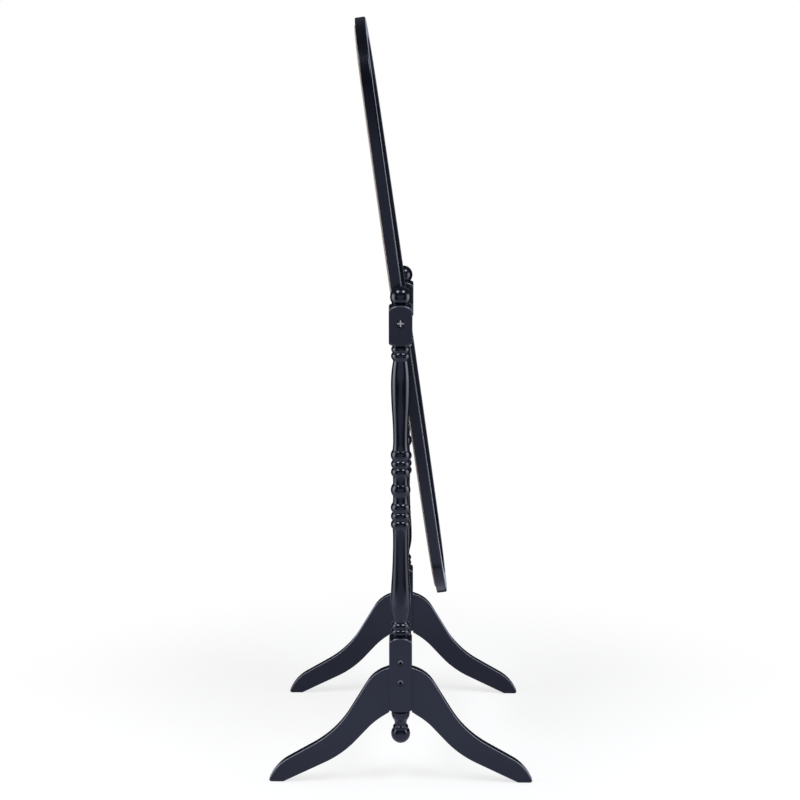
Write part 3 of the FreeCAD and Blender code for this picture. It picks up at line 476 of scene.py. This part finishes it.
section = frame_section()
print("frame section points", len(section))

# %% [markdown]
# The oval is four arcs, two long flat ones at the sides and two short round ones at the ends. A bent
# curve could only come near it, while arcs that share a tangent where they meet are what a template is
# made of. Every inset of the section only shortens the arcs' radius.

# %% Oval path
SIDE_RADIUS = 2322.0 * MM
FRAME_LENGTH = 1172.0 * MM
SIDE_ROWS, END_ROWS = 120, 150


def oval_path(width, length):
    """Rows (centre x, centre z, radius, angle) round the oval, from the foot of its right side.

    The ends' radius is (S w - w^2 / 4 - l^2 / 4) / (2 S - l), with S the sides' radius, w the width and
    l the length.
    """
    end_radius = (SIDE_RADIUS * width - width**2 / 4 - length**2 / 4) / (2 * SIDE_RADIUS - length)
    side, end = SIDE_RADIUS - width / 2, length / 2 - end_radius
    lean = math.atan2(end, side)
    arcs = [
        (-side, 0.0, SIDE_RADIUS, -lean, lean, SIDE_ROWS),
        (0.0, end, end_radius, lean, math.pi - lean, END_ROWS),
        (side, 0.0, SIDE_RADIUS, math.pi - lean, math.pi + lean, SIDE_ROWS),
        (0.0, -end, end_radius, math.pi + lean, 2 * math.pi - lean, END_ROWS),
    ]
    rows = []
    for x, z, radius, start, stop, count in arcs:
        angles = np.linspace(start, stop, count, endpoint=False)
        rows.append(np.stack([np.full(count, x), np.full(count, z), np.full(count, radius), angles]))
    return np.concatenate(rows, axis=1)


frame_low, frame_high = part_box("mirror_frame")
path = oval_path(frame_high[0] - frame_low[0], FRAME_LENGTH)
print("oval rows", path.shape[1], "ends' radius", path[2].min())

# %% [markdown]
# The section then goes round the oval. The ring leans back at rest as the glass does, and its middle is
# found from the glass, which lies a little towards the back. A stepped hole in each side takes the
# pivot's spacer and insert.

# %% Frame surface
REST_TILT = math.radians(8.17)
GLASS_MIDDLE = 6.0 * MM
SOCKET_PAST = 4 * PAST


def carve_frame():
    """The ring: oval centre + (radius - inset) * direction, its depth square to it, leant back at rest."""
    glass_low, glass_high = np.array(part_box("mirror_glass"))
    upward = np.array([0, math.sin(REST_TILT), math.cos(REST_TILT)])
    inward = np.array([0, math.cos(REST_TILT), -math.sin(REST_TILT)])
    middle = (glass_low + glass_high) / 2 - GLASS_MIDDLE * inward
    x, z, radius, angle = path
    inset, depth = section.T
    reach = radius[:, None] - inset
    across = x[:, None] + reach * np.cos(angle)[:, None]
    tall = z[:, None] + reach * np.sin(angle)[:, None]
    points = middle + tall[..., None] * upward + depth[:, None] * inward
    points[..., 0] += across
    faces = ring_faces(len(angle), len(section))
    piece = new_object("mirror_frame_carved", points.reshape(-1, 3), faces)
    cutters = []
    for side, outward in (("left", -1), ("right", 1)):
        insert_low, insert_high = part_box(f"{side}_pivot_insert")
        spacer_low, spacer_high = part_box(f"{side}_pivot_spacer")
        seat = spacer_high[0] if outward < 0 else spacer_low[0]
        deep = insert_high[0] if outward < 0 else insert_low[0]
        level = (insert_low[2] + insert_high[2]) / 2
        hole = (insert_high[2] - insert_low[2]) / 2
        wide = (spacer_high[2] - spacer_low[2]) / 2 + SINK_ROOM
        steps = [(deep, hole), (seat, hole), (seat, wide), (seat + outward * SOCKET_PAST, wide)]
        cutters.append(bore(f"{side}_socket", steps, level))
    cut_holes(piece, cutters)
    add_piece(piece, "mirror", "black_paint", "mirror_frame")
    return piece


carved_frame = carve_frame()

# %% [markdown]
# ## Shader arithmetic
# A material is a small sum: some noise here, a mask there. Dozens of nodes linked one by one are hard to
# follow, and a Python expression reads like the sum it is. A Wire is one output of a node, and adding or
# multiplying wires adds Math nodes to the same tree.

# %% Wires
class Wire:
    """One socket of a node tree: its sums, products and comparisons add Math nodes."""

    def __init__(self, tree, socket=None):
        self.tree = tree
        self.socket = socket

    def node(self, kind, settings=None, inputs=None, output=0):
        """Adds a node: its settings first, then values or wires into its sockets."""
        made = self.tree.nodes.new(kind)
        for name, value in (settings or {}).items():
            setattr(made, name, value)
        for name, value in (inputs or {}).items():
            if isinstance(value, Wire):
                self.tree.links.new(value.socket, made.inputs[name])
            else:
                made.inputs[name].default_value = value
        if isinstance(output, tuple):
            return [Wire(self.tree, made.outputs[name]) for name in output]
        return Wire(self.tree, made.outputs[output] if made.outputs else None)

    def math(self, operation, first, second=0.0):
        """A Math node on two values or wires."""
        return self.node("ShaderNodeMath", {"operation": operation}, {0: first, 1: second})

    def __add__(self, other):
        return self.math("ADD", self, other)

    def __sub__(self, other):
        return self.math("SUBTRACT", self, other)

    def __rsub__(self, other):
        return self.math("SUBTRACT", other, self)

    def __mul__(self, other):
        return self.math("MULTIPLY", self, other)

    def __lt__(self, other):
        return self.math("LESS_THAN", self, other)

    __radd__ = __add__
    __rmul__ = __mul__

    def smooth(self, low, high):
        """Rises smoothly from 0 to 1 as the wire goes from low to high."""
        inputs = {"Value": self, "From Min": low, "From Max": high}
        return self.node("ShaderNodeMapRange", {"interpolation_type": "SMOOTHSTEP"}, inputs)

    def mix(self, first, second):
        """A colour that goes from the first to the second as the wire goes from 0 to 1."""
        ends = [value if isinstance(value, Wire) else (*value, 1) for value in (first, second)]
        return self.node("ShaderNodeMix", {"data_type": "RGBA"}, {0: self, 6: ends[0], 7: ends[1]}, 2)


# %% [markdown]
# Every finish starts from Object coordinates and noise, and ends in one Principled shader. What varies
# feeds its colour, its roughness and a bump. What is the same all over is set on the shader's own socket.

# %% Finish helpers
def new_finish(name):
    """An empty material and a first wire into its tree."""
    material = bpy.data.materials.new(name)
    material.use_nodes = True
    material.node_tree.nodes.clear()
    return material, Wire(material.node_tree)


def close_finish(start, colour, roughness, height=None, relief=0.0, **constants):
    """Ends a tree in a Principled shader with a colour, a roughness and a relief of so many metres."""
    sockets = {"Base Color": colour, "Roughness": roughness}
    if height is not None:
        sockets["Normal"] = start.node("ShaderNodeBump", None, {"Height": height, "Distance": relief})
    sockets.update({name.replace("_", " "): value for name, value in constants.items()})
    shader = start.node("ShaderNodeBsdfPrincipled", None, sockets)
    start.node("ShaderNodeOutputMaterial", None, {"Surface": shader})


def object_place(start, scale=(1, 1, 1)):
    """Object coordinates in metres, stretched by a scale."""
    place = start.node("ShaderNodeTexCoord", None, None, "Object")
    return start.node("ShaderNodeMapping", None, {"Vector": place, "Scale": scale})


def noise(start, place, scale, detail=2.0):
    """Soft noise from 0 to 1, with so many lumps to the metre."""
    inputs = {"Vector": place, "Scale": scale, "Detail": detail}
    return start.node("ShaderNodeTexNoise", None, inputs, "Fac")


# %% [markdown]
# ## Black lacquer
# Spray runs thin over sharp edges, and hands and cloths rub it there. The legs' upper edges and the
# shoulders of the square blocks are paler: partly rubbed paint, and partly a painted highlight where light
# from above falls on these upward-facing edges. An edge shows in the surface's direction, so a mask on the
# normal finds it without any painted map.

# %% Rubbed edges and painted highlights
# Paler lacquer for the upward-facing edges: rubbed paint, and a painted highlight.
RUBBED_AND_HIGHLIGHT = (0.12, 0.126, 0.15)
OFF_RIM, ON_FACE, EDGE_UP = (0.2, 0.5), (0.8, 0.97), (0.1, 0.4)
SHOULDER_SHARE = 0.6
SHOULDER_RIM = (20.5 * MM, 21.3 * MM)
SHOULDER_UP, SHOULDER_TOP = (0.08, 0.3), (0.5, 0.7)


def edge_wear_and_highlight(start):
    """1 on the rounded upper edges of a board that stands square to X, and 0 on its faces and rim: rubbed
    paint and a painted highlight.
    """
    facing = start.node("ShaderNodeTexCoord", None, None, "Normal")
    aside, up = start.node("ShaderNodeSeparateXYZ", None, {"Vector": facing}, ("X", "Z"))
    turned = start.math("ABSOLUTE", aside)
    return turned.smooth(*OFF_RIM) * (1 - turned.smooth(*ON_FACE)) * up.smooth(*EDGE_UP)


def shoulder_wear_and_highlight(start):
    """A share of 1 on the eased upper edges of the posts' square blocks, and 0 elsewhere: rubbed paint and
    a painted highlight.
    """
    low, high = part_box("right_post")
    middle = (low[0] + high[0]) / 2
    place = start.node("ShaderNodeTexCoord", None, None, "Object")
    facing = start.node("ShaderNodeTexCoord", None, None, "Normal")
    along, aside = start.node("ShaderNodeSeparateXYZ", None, {"Vector": place}, ("X", "Y"))
    up = start.node("ShaderNodeSeparateXYZ", None, {"Vector": facing}, "Z")
    off = start.math("ABSOLUTE", along) - middle
    off_axis = start.math("SQRT", off * off + aside * aside)
    rim = SHOULDER_SHARE * off_axis.smooth(*SHOULDER_RIM)
    return rim * up.smooth(*SHOULDER_UP) * (1 - up.smooth(*SHOULDER_TOP))


# %% [markdown]
# The wood is sprayed with a blue-black lacquer. It is nearly flat, but not quite: the spray leaves a fine
# peel, the grain below shows as long shallow streaks, and the gloss changes a little from place to place.
# The gloss itself is slightly blue. The grain runs along each piece, so each kind of piece has its own
# stretch of the noise.

# %% Lacquer
BLUE_GLOSS = (0.77, 0.815, 1.0, 1.0)
LACQUER_DARK, LACQUER_LIGHT = (0.0014, 0.0017, 0.0040), (0.0026, 0.0030, 0.0062)
PEEL_LUMPS, CLOUD_LUMPS = 520.0, 11.0
LACQUER_RELIEF = 0.015 * MM
POST_GRAIN, LEG_GRAIN, FRAME_GRAIN = (900, 900, 30), (900, 60, 60), (700, 700, 26)
WOOD_GLOSS, FRAME_GLOSS = 1.55, 1.47


def black_lacquer(name, stretch, gloss, wear_and_highlight=None):
    """Lacquer over wood whose grain runs along the axis that the stretch squeezes; gloss is its IOR."""
    material, start = new_finish(name)
    place = object_place(start)
    peel = noise(start, place, PEEL_LUMPS)
    cloud = noise(start, place, CLOUD_LUMPS, 3.0)
    grain = noise(start, object_place(start, stretch), 1.0, 4.0)
    shade = 0.55 * cloud + 0.45 * grain
    colour = shade.mix(LACQUER_DARK, LACQUER_LIGHT)
    # Upward-facing eased edges turn paler: rubbed paint, and a painted highlight.
    if wear_and_highlight:
        colour = wear_and_highlight(start).mix(colour, RUBBED_AND_HIGHLIGHT)
    roughness = 0.13 + 0.06 * cloud + 0.03 * peel
    height = 0.55 * peel + 0.45 * grain
    close_finish(start, colour, roughness, height, LACQUER_RELIEF, IOR=gloss, Specular_Tint=BLUE_GLOSS)
    return material


post_lacquer = black_lacquer("post_lacquer", POST_GRAIN, WOOD_GLOSS, shoulder_wear_and_highlight)
leg_lacquer = black_lacquer("leg_lacquer", LEG_GRAIN, WOOD_GLOSS, edge_wear_and_highlight)
frame_lacquer = black_lacquer("frame_lacquer", FRAME_GRAIN, FRAME_GLOSS)
print("lacquers", post_lacquer.name, leg_lacquer.name, frame_lacquer.name)

# %% [markdown]
# ## Board, glass and hardware
# The back of the mirror is raw fibreboard, whose cut edge shows as a pale line behind the frame. The glass
# is silvered, so it is a smooth metal to the eye. The rest are small stock parts, of plated or drawn
# metal, or of wood, nylon and foam, and two functions make all of those.

# %% Board, glass and stock
FIBRE_DARK, FIBRE_LIGHT = (0.47, 0.385, 0.315), (0.70, 0.60, 0.52)
FLECK_LUMPS, BLOTCH_LUMPS, FIBRE_RELIEF = 900.0, 25.0, 0.08 * MM
SILVER_DARK, SILVER_LIGHT, HAZE_LUMPS = (0.75, 0.785, 0.78), (0.79, 0.815, 0.81), 3.0
DRAWN, STAIN_LUMPS, SCRATCH_RELIEF = (200, 2400, 2400), 60.0, 0.01 * MM


def raw_fibreboard():
    """Pressed fibres: fine flecks over slow blotches, dull and slightly furry."""
    material, start = new_finish("raw_fibreboard")
    place = object_place(start)
    fleck = noise(start, place, FLECK_LUMPS, 4.0)
    blotch = noise(start, place, BLOTCH_LUMPS, 3.0)
    shade = 0.6 * fleck + 0.4 * blotch
    colour = shade.mix(FIBRE_DARK, FIBRE_LIGHT)
    close_finish(start, colour, 0.78 + 0.12 * fleck, fleck, FIBRE_RELIEF, IOR=1.45)
    return material


def silvered_glass():
    """Silver behind clear glass: a smooth mirror with a trace of green."""
    material, start = new_finish("silvered_glass")
    haze = noise(start, object_place(start), HAZE_LUMPS)
    close_finish(start, haze.mix(SILVER_DARK, SILVER_LIGHT), 0.0, Metallic=1.0)
    return material


def plain_metal(name, dark, light, roughness):
    """Plated or drawn metal with fine scratches in its gloss."""
    material, start = new_finish(name)
    place = object_place(start)
    scratch = noise(start, object_place(start, DRAWN), 1.0, 3.0)
    colour = noise(start, place, STAIN_LUMPS, 3.0).mix(dark, light)
    close_finish(start, colour, roughness + 0.15 * scratch, scratch, SCRATCH_RELIEF, Metallic=1.0)
    return material


def dull_piece(name, dark, light, roughness, scale, relief):
    """Wood, nylon or foam: fine grains of two shades."""
    material, start = new_finish(name)
    grains = noise(start, object_place(start), scale, 4.0)
    close_finish(start, grains.mix(dark, light), roughness + 0.1 * grains, grains, relief)
    return material


finishes = {
    "raw_fibreboard": raw_fibreboard(),
    "silvered_glass": silvered_glass(),
    "zinc_steel": plain_metal("zinc_steel", (0.42, 0.42, 0.41), (0.66, 0.66, 0.64), 0.28),
    "insert_brass": plain_metal("insert_brass", (0.58, 0.42, 0.17), (0.78, 0.6, 0.3), 0.3),
    "bare_wood": dull_piece("bare_wood", (0.5, 0.34, 0.2), (0.72, 0.55, 0.36), 0.6, 300.0, 0.05 * MM),
    "nylon": dull_piece("nylon", (0.02, 0.02, 0.023), (0.04, 0.04, 0.045), 0.45, 500.0, 0.02 * MM),
    "foam_strip": dull_piece("foam_strip", (0.1, 0.1, 0.1), (0.22, 0.22, 0.22), 0.9, 1200.0, 0.1 * MM),
}
print("finishes", list(finishes))

# %% [markdown]
# Two kinds of bolt show, and each has a mark of its own. The pivot bolt's cross recess is worn bright by
# the driver. The stretcher bolts' sockets and the lower half of each dish are dark with painted shade.
# Both marks are measured from the bolts' own boxes, so they stay on the heads.

# %% Worn steel and painted shade
CROSS_ARM, CROSS_REACH = 1.1 * MM, 6.2 * MM
SCUFF_LUMPS = 700.0
BLACKENED, WORN = (0.05, 0.053, 0.06), (0.86, 0.81, 0.75)
# Painted shade on the stretcher bolts: a dark colour in the sockets and on each dish's lower half, lit
# steel above it.
SHADED_STEEL, LIT_STEEL = (0.004, 0.0045, 0.006), (0.5, 0.52, 0.55)
SHADE_EDGE = (-2.0 * MM, 2.0 * MM)
SHADED_SHARE, LIT_GAIN = 0.22, 0.58
SOCKET_EDGE = (SOCKET_RADIUS - 0.3 * MM, SOCKET_RADIUS + 0.1 * MM)


def pivot_steel():
    """Blackened steel that reflects a little, and the cross recess that a driver has worn bright."""
    material, start = new_finish("pivot_steel")
    low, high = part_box("left_pivot_bolt")
    level = (low[2] + high[2]) / 2
    place = start.node("ShaderNodeTexCoord", None, None, "Object")
    aside, up = start.node("ShaderNodeSeparateXYZ", None, {"Vector": place}, ("Y", "Z"))
    wide, tall = start.math("ABSOLUTE", aside), start.math("ABSOLUTE", up - level)
    upright = (wide < CROSS_ARM) * (tall < CROSS_REACH)
    cross = start.math("MAXIMUM", upright, (tall < CROSS_ARM) * (wide < CROSS_REACH))
    scuff = noise(start, place, SCUFF_LUMPS, 3.0)
    worn = cross * (0.75 + 0.25 * scuff)
    colour = worn.mix(BLACKENED, WORN)
    close_finish(start, colour, 0.24 + 0.1 * scuff, scuff, SCRATCH_RELIEF, Metallic=1.0)
    return material


def bolt_steel():
    """Blackened steel with a soft shine, with painted shade in the sockets and over each dish's lower half.
    """
    material, start = new_finish("bolt_steel")
    low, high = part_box("left_stretcher_bolts")
    head = (high[1] - low[1]) / 2
    lower, upper = low[2] + head, high[2] - head
    place = start.node("ShaderNodeTexCoord", None, None, "Object")
    aside, up = start.node("ShaderNodeSeparateXYZ", None, {"Vector": place}, ("Y", "Z"))
    on_upper = 1 - (up < (lower + upper) / 2)
    rise = up - lower - (upper - lower) * on_upper
    off_axis = start.math("SQRT", aside * aside + rise * rise)
    scuff = noise(start, place, SCUFF_LUMPS, 3.0)
    # Painted shade: darker below each bolt's axis and inside its socket.
    lit_half = SHADED_SHARE + LIT_GAIN * rise.smooth(*SHADE_EDGE)
    not_in_shade = lit_half * off_axis.smooth(*SOCKET_EDGE)
    colour = (scuff * not_in_shade).mix(SHADED_STEEL, LIT_STEEL)
    close_finish(start, colour, 0.22 + 0.12 * scuff, scuff, SCRATCH_RELIEF, Metallic=1.0)
    return material


pivot_finish = pivot_steel()
finishes["black_steel"] = bolt_steel()
# The stretcher bolts' sockets are dark with painted shade.
print("worn cross", 2 * CROSS_REACH, "m across, shaded sockets", 2 * SOCKET_RADIUS, "m")

# %% [markdown]
# ## Finishes on the pieces
# The record names a finish for every CAD node, so a loop can dress them all. The legs and the stretcher
# are painted wood like the posts, but their grain lies along them, and the pivot bolts have their worn
# cross. These go by the node's name instead. The new pieces come last.

# %% Finishes on the pieces
own_finish = {"leg": leg_lacquer, "stretcher": leg_lacquer, "pivot_bolt": pivot_finish}
for entry in frame["record"]["subparts"]:
    node, slot = entry["node"], entry["material_slot"]
    own = next((made for ending, made in own_finish.items() if node.endswith(ending)), None)
    frame["nodes"][node].data.materials[0] = own or finishes.get(slot, post_lacquer)
new_pieces = [(post, post_lacquer) for post in posts] + [(carved_frame, frame_lacquer)]
new_pieces += [(heads, finishes["black_steel"]) for heads in bolt_heads]
for piece, finish in new_pieces:
    piece.data.materials.clear()
    piece.data.materials.append(finish)

# %% [markdown]
# ## Camera
# The photograph looks along the pivot axis from the left post's side, from three metres away and a little
# above. The lens and the angles were fitted to both posts and all four feet.

# %% Camera
PHOTO_SIDE = 800
FOCAL_PIXELS = 1500.0
SENSOR = 36.0
CAMERA_PLACE = (-3.024, -0.0340, 1.230)
PITCH_DOWN = 9.623
YAW = 0.726

camera = bpy.data.objects.new("photo_camera", bpy.data.cameras.new("photo_camera"))
bpy.context.scene.collection.objects.link(camera)
camera.data.sensor_width = SENSOR
camera.data.sensor_fit = "HORIZONTAL"
camera.data.lens = FOCAL_PIXELS / PHOTO_SIDE * SENSOR
camera.location = CAMERA_PLACE
camera.rotation_euler = (math.radians(90 - PITCH_DOWN), 0, math.radians(YAW - 90))
bpy.context.scene.camera = camera
print("lens", camera.data.lens)

# %% [markdown]
# ## Studio
# The mirror stands on a strip of white paper that runs up behind it. Black lacquer shows little of its
# own colour: what the eye reads is the room in its gloss. The ball on the near post is a small mirror
# ball, and it tells where the lights were: a tall soft box on each side, standing on the floor, and a
# bright box high up on each side, nearer to the camera. Between them the room is dark, which gives the
# wood its dark rims.

# %% Soft boxes
LAMP_COLOUR = (0.94, 0.965, 1.0, 1.0)


def soft_box(name, place, target, size, brightness, fade=None):
    """Rectangular lamp that faces a point, with so much brightness, which may fade over its face."""
    lamp = bpy.data.lights.new(name, "AREA")
    lamp.shape = "RECTANGLE"
    lamp.size, lamp.size_y = size
    lamp.energy = brightness * math.pi * size[0] * size[1]
    lamp.use_nodes = True
    lamp.node_tree.nodes.clear()
    start = Wire(lamp.node_tree)
    strength = fade(start) if fade else 1.0
    glow = start.node("ShaderNodeEmission", None, {"Color": LAMP_COLOUR, "Strength": strength})
    start.node("ShaderNodeOutputLight", None, {"Surface": glow})
    holder = bpy.data.objects.new(name, lamp)
    bpy.context.scene.collection.objects.link(holder)
    holder.location = place
    holder.rotation_euler = (Vector(target) - holder.location).to_track_quat("-Z", "Y").to_euler()
    holder.visible_camera = False
    return holder


# %% [markdown]
# A soft box is brightest where its bulb is and falls off to its edges. In the turned posts that shows as
# stripes with soft ends, so the side boxes fade. The top boxes are small in the gloss and stay plain.

# %% Lights
SIDE_MIDDLE, SIDE_HALF, SIDE_HEIGHT = -0.28, 0.68, 1.66
SIDE_AWAY, SIDE_BRIGHTNESS = 1.35, 4.5
SIDE_EDGE, SIDE_RISE, SIDE_TOP, SIDE_FOOT = (0.25, 1.0), (0.0, 0.95), (1.15, SIDE_HEIGHT), 0.36
TOP_AWAY, TOP_BRIGHTNESS = 2.0, 12.5
TOP_DIRECTION, TOP_SIZE = (-0.83, 1.14, 2.16), np.array([1.1, 0.75])
NEAR_BALL = np.array([-0.24, 0.0, 0.95])


def side_fade(start):
    """Brightest a metre up the box's middle, fading to its edges and most of the way to its foot."""
    spot = start.node("ShaderNodeNewGeometry", None, None, "Position")
    along, up = start.node("ShaderNodeSeparateXYZ", None, {"Vector": spot}, ("X", "Z"))
    off = start.math("ABSOLUTE", along - SIDE_MIDDLE) * (1 / SIDE_HALF)
    lower = SIDE_FOOT + (1 - SIDE_FOOT) * up.smooth(*SIDE_RISE)
    return (1 - off.smooth(*SIDE_EDGE)) * lower * (1 - up.smooth(*SIDE_TOP))


boxes = []
for name, sign in (("front", -1), ("rear", 1)):
    side_place = (SIDE_MIDDLE, SIDE_AWAY * sign, SIDE_HEIGHT / 2)
    side_target = (SIDE_MIDDLE, 0, SIDE_HEIGHT / 2)
    side_size = (2 * SIDE_HALF, SIDE_HEIGHT)
    side_box = soft_box(f"{name}_side_box", side_place, side_target, side_size, SIDE_BRIGHTNESS, side_fade)
    top_place = NEAR_BALL + TOP_AWAY * np.array(TOP_DIRECTION) * (1, sign, 1)
    top_box = soft_box(f"{name}_top_box", top_place, NEAR_BALL, TOP_AWAY * TOP_SIZE, TOP_BRIGHTNESS)
    boxes += [side_box, top_box]
print("side boxes", SIDE_AWAY, "m away, last top box at", top_place)

# %% [markdown]
# A mirror that faces a soft box shows it as a hard white patch. A photographer turns the box or flags it
# off. Light linking is the same thing in Blender: the boxes shine on everything except the glass, which
# then shows the plain room.

# %% Boxes flagged off the glass
flagged = bpy.data.collections.new("flagged_glass")
flagged.objects.link(frame["nodes"]["mirror_glass"])
flagged.collection_objects[0].light_linking.link_state = "EXCLUDE"
for box in boxes:
    box.light_linking.receiver_collection = flagged

# %% [markdown]
# ## World and floor
# The camera sees plain white all round, and so do clear glass and the mirror, where the room only darkens
# a little towards the ceiling. The gloss of the wood sees a studio instead: the paper strip before and
# behind the object, a faint ceiling and dark sides, all slightly cool. Light Path tells these rays apart.

# %% World
PLAIN, COOL = (1.0, 1.0, 1.0), (0.78, 0.82, 1.0)
FILL = 0.3
DARK, BEFORE, BEHIND, CEILING = 0.03, 0.68, 0.8, 0.08
BEFORE_SIDE, BEFORE_TOP = (-0.88, -0.70), (0.25, 0.42)
BEHIND_SIDE, BEHIND_TOP = (0.985, 0.997), (0.12, 0.24)
CEILING_RISE = (0.15, 0.5)
GLASS_DIM, GLASS_RISE = 0.22, (0.0, 0.5)


def ray_kinds(start):
    """Wires for the rays that see white, for the mirror's among them, and for the ones that see the studio.

    The camera, clear glass and the mirror's sharp reflections see white. Softer reflections see the studio.
    """
    names = ("Is Camera Ray", "Is Glossy Ray", "Is Singular Ray", "Is Transmission Ray")
    camera_ray, glossy, singular, clear = start.node("ShaderNodeLightPath", None, None, names)
    sharp = glossy * singular
    white = start.math("MAXIMUM", start.math("MAXIMUM", camera_ray, clear), sharp)
    return white, sharp, glossy * (1 - singular)


world = bpy.data.worlds.new("studio")
bpy.context.scene.world = world
world.use_nodes = True
world.node_tree.nodes.clear()
sky = Wire(world.node_tree)
white, sharp, gloss = ray_kinds(sky)
way = sky.node("ShaderNodeTexCoord", None, None, "Generated")
along, up = sky.node("ShaderNodeSeparateXYZ", None, {"Vector": way}, ("X", "Z"))
before = (1 - along.smooth(*BEFORE_SIDE)) * (1 - up.smooth(*BEFORE_TOP))
behind = along.smooth(*BEHIND_SIDE) * (1 - up.smooth(*BEHIND_TOP))
room = DARK + BEFORE * before + BEHIND * behind + CEILING * up.smooth(*CEILING_RISE)
seen_white = white * (1 - GLASS_DIM * sharp * up.smooth(*GLASS_RISE))
level = seen_white + (1 - white) * (gloss * room + (1 - gloss) * FILL)
backdrop = sky.node("ShaderNodeBackground", None, {"Color": gloss.mix(PLAIN, COOL), "Strength": level})
sky.node("ShaderNodeOutputWorld", None, {"Surface": backdrop})
print("world nodes", len(world.node_tree.nodes))

# %% [markdown]
# The floor is one large square. The camera sees white paper on it, which shows the shadow near the object
# and fades into the white further out. The gloss sees the paper as a studio lights it: the strip towards
# the camera with a brighter spot before the object and a dimmer far end, the sweep behind the object, and
# what the side boxes spill on the floor.

# %% Floor as the gloss sees it
FLOOR_HALF, PAPER_HALF, PAPER_EDGE = 8.0, 1.15, 0.35
UNDER, UNDER_END = 0.60, (0.15, 0.45)
FAR_DIM, FAR_START, FAR_END = 0.14, (-6.5, -5.0), (-3.2, -2.2)
SPOT, SPOT_START, SPOT_END = 0.38, (-1.6, -1.0), (-0.55, 0.0)
SWEEP, SWEEP_SIDE, SWEEP_START = 0.95, (0.3, 0.65), (0.6, 1.0)
SPILL, SPILL_START, SPILL_END, SPILL_SIDE = 0.45, (0.6, 1.0), (1.3, 1.5), (0.5, 1.0)


def paper_in_gloss(start, place):
    """Brightness of the floor in the gloss: dark + strip * (under + spot) + sweep + spill."""
    along, aside = start.node("ShaderNodeSeparateXYZ", None, {"Vector": place}, ("X", "Y"))
    off_strip = start.math("ABSOLUTE", aside)
    far_end = along.smooth(*FAR_START) * (1 - along.smooth(*FAR_END))
    under = UNDER * (1 - along.smooth(*UNDER_END)) - FAR_DIM * far_end
    lit_spot = SPOT * along.smooth(*SPOT_START) * (1 - along.smooth(*SPOT_END))
    strip = 1 - off_strip.smooth(PAPER_HALF, PAPER_HALF + PAPER_EDGE)
    sweep = SWEEP * (1 - off_strip.smooth(*SWEEP_SIDE)) * along.smooth(*SWEEP_START)
    off_box = start.math("ABSOLUTE", along - SIDE_MIDDLE)
    beside = off_strip.smooth(*SPILL_START) * (1 - off_strip.smooth(*SPILL_END))
    spill = SPILL * beside * (1 - off_box.smooth(*SPILL_SIDE))
    return DARK + strip * (under + lit_spot) + sweep + spill


# %% [markdown]
# One material holds both: a plain white diffuse paper, which takes the shadow, and a glow, which the
# camera sees more of the further it is from the object. The floor rides on no body.

# %% Floor
SHADOW_NEAR, SHADOW_FAR = 0.5, 1.1
PAPER_GLOW, PAPER = 0.72, (0.8, 0.8, 0.8, 1)
corners = FLOOR_HALF * np.array([[-1, -1, 0], [1, -1, 0], [1, 1, 0], [-1, 1, 0]])
floor = new_object("floor", corners, [[0, 1, 2, 3]])
white_paper, start = new_finish("white_paper")
white, _, gloss = ray_kinds(start)
place = start.node("ShaderNodeTexCoord", None, None, "Object")
distance = start.node("ShaderNodeVectorMath", {"operation": "LENGTH"}, {0: place}, "Value")
strength = white + gloss * paper_in_gloss(start, place)
glow = start.node("ShaderNodeEmission", None, {"Color": gloss.mix(PLAIN, COOL), "Strength": strength})
shade = start.node("ShaderNodeBsdfDiffuse", None, {"Color": PAPER})
fading = PAPER_GLOW + (1 - PAPER_GLOW) * distance.smooth(SHADOW_NEAR, SHADOW_FAR)
blend = start.node("ShaderNodeMixShader", None, {0: gloss + white * fading, 1: shade, 2: glow})
start.node("ShaderNodeOutputMaterial", None, {"Surface": blend})
floor.data.materials.append(white_paper)

bpy.context.scene.view_settings.view_transform = "Standard"
print("floor", 2 * FLOOR_HALF, "m wide, its shadow fades from", SHADOW_NEAR, "to", SHADOW_FAR, "m out")
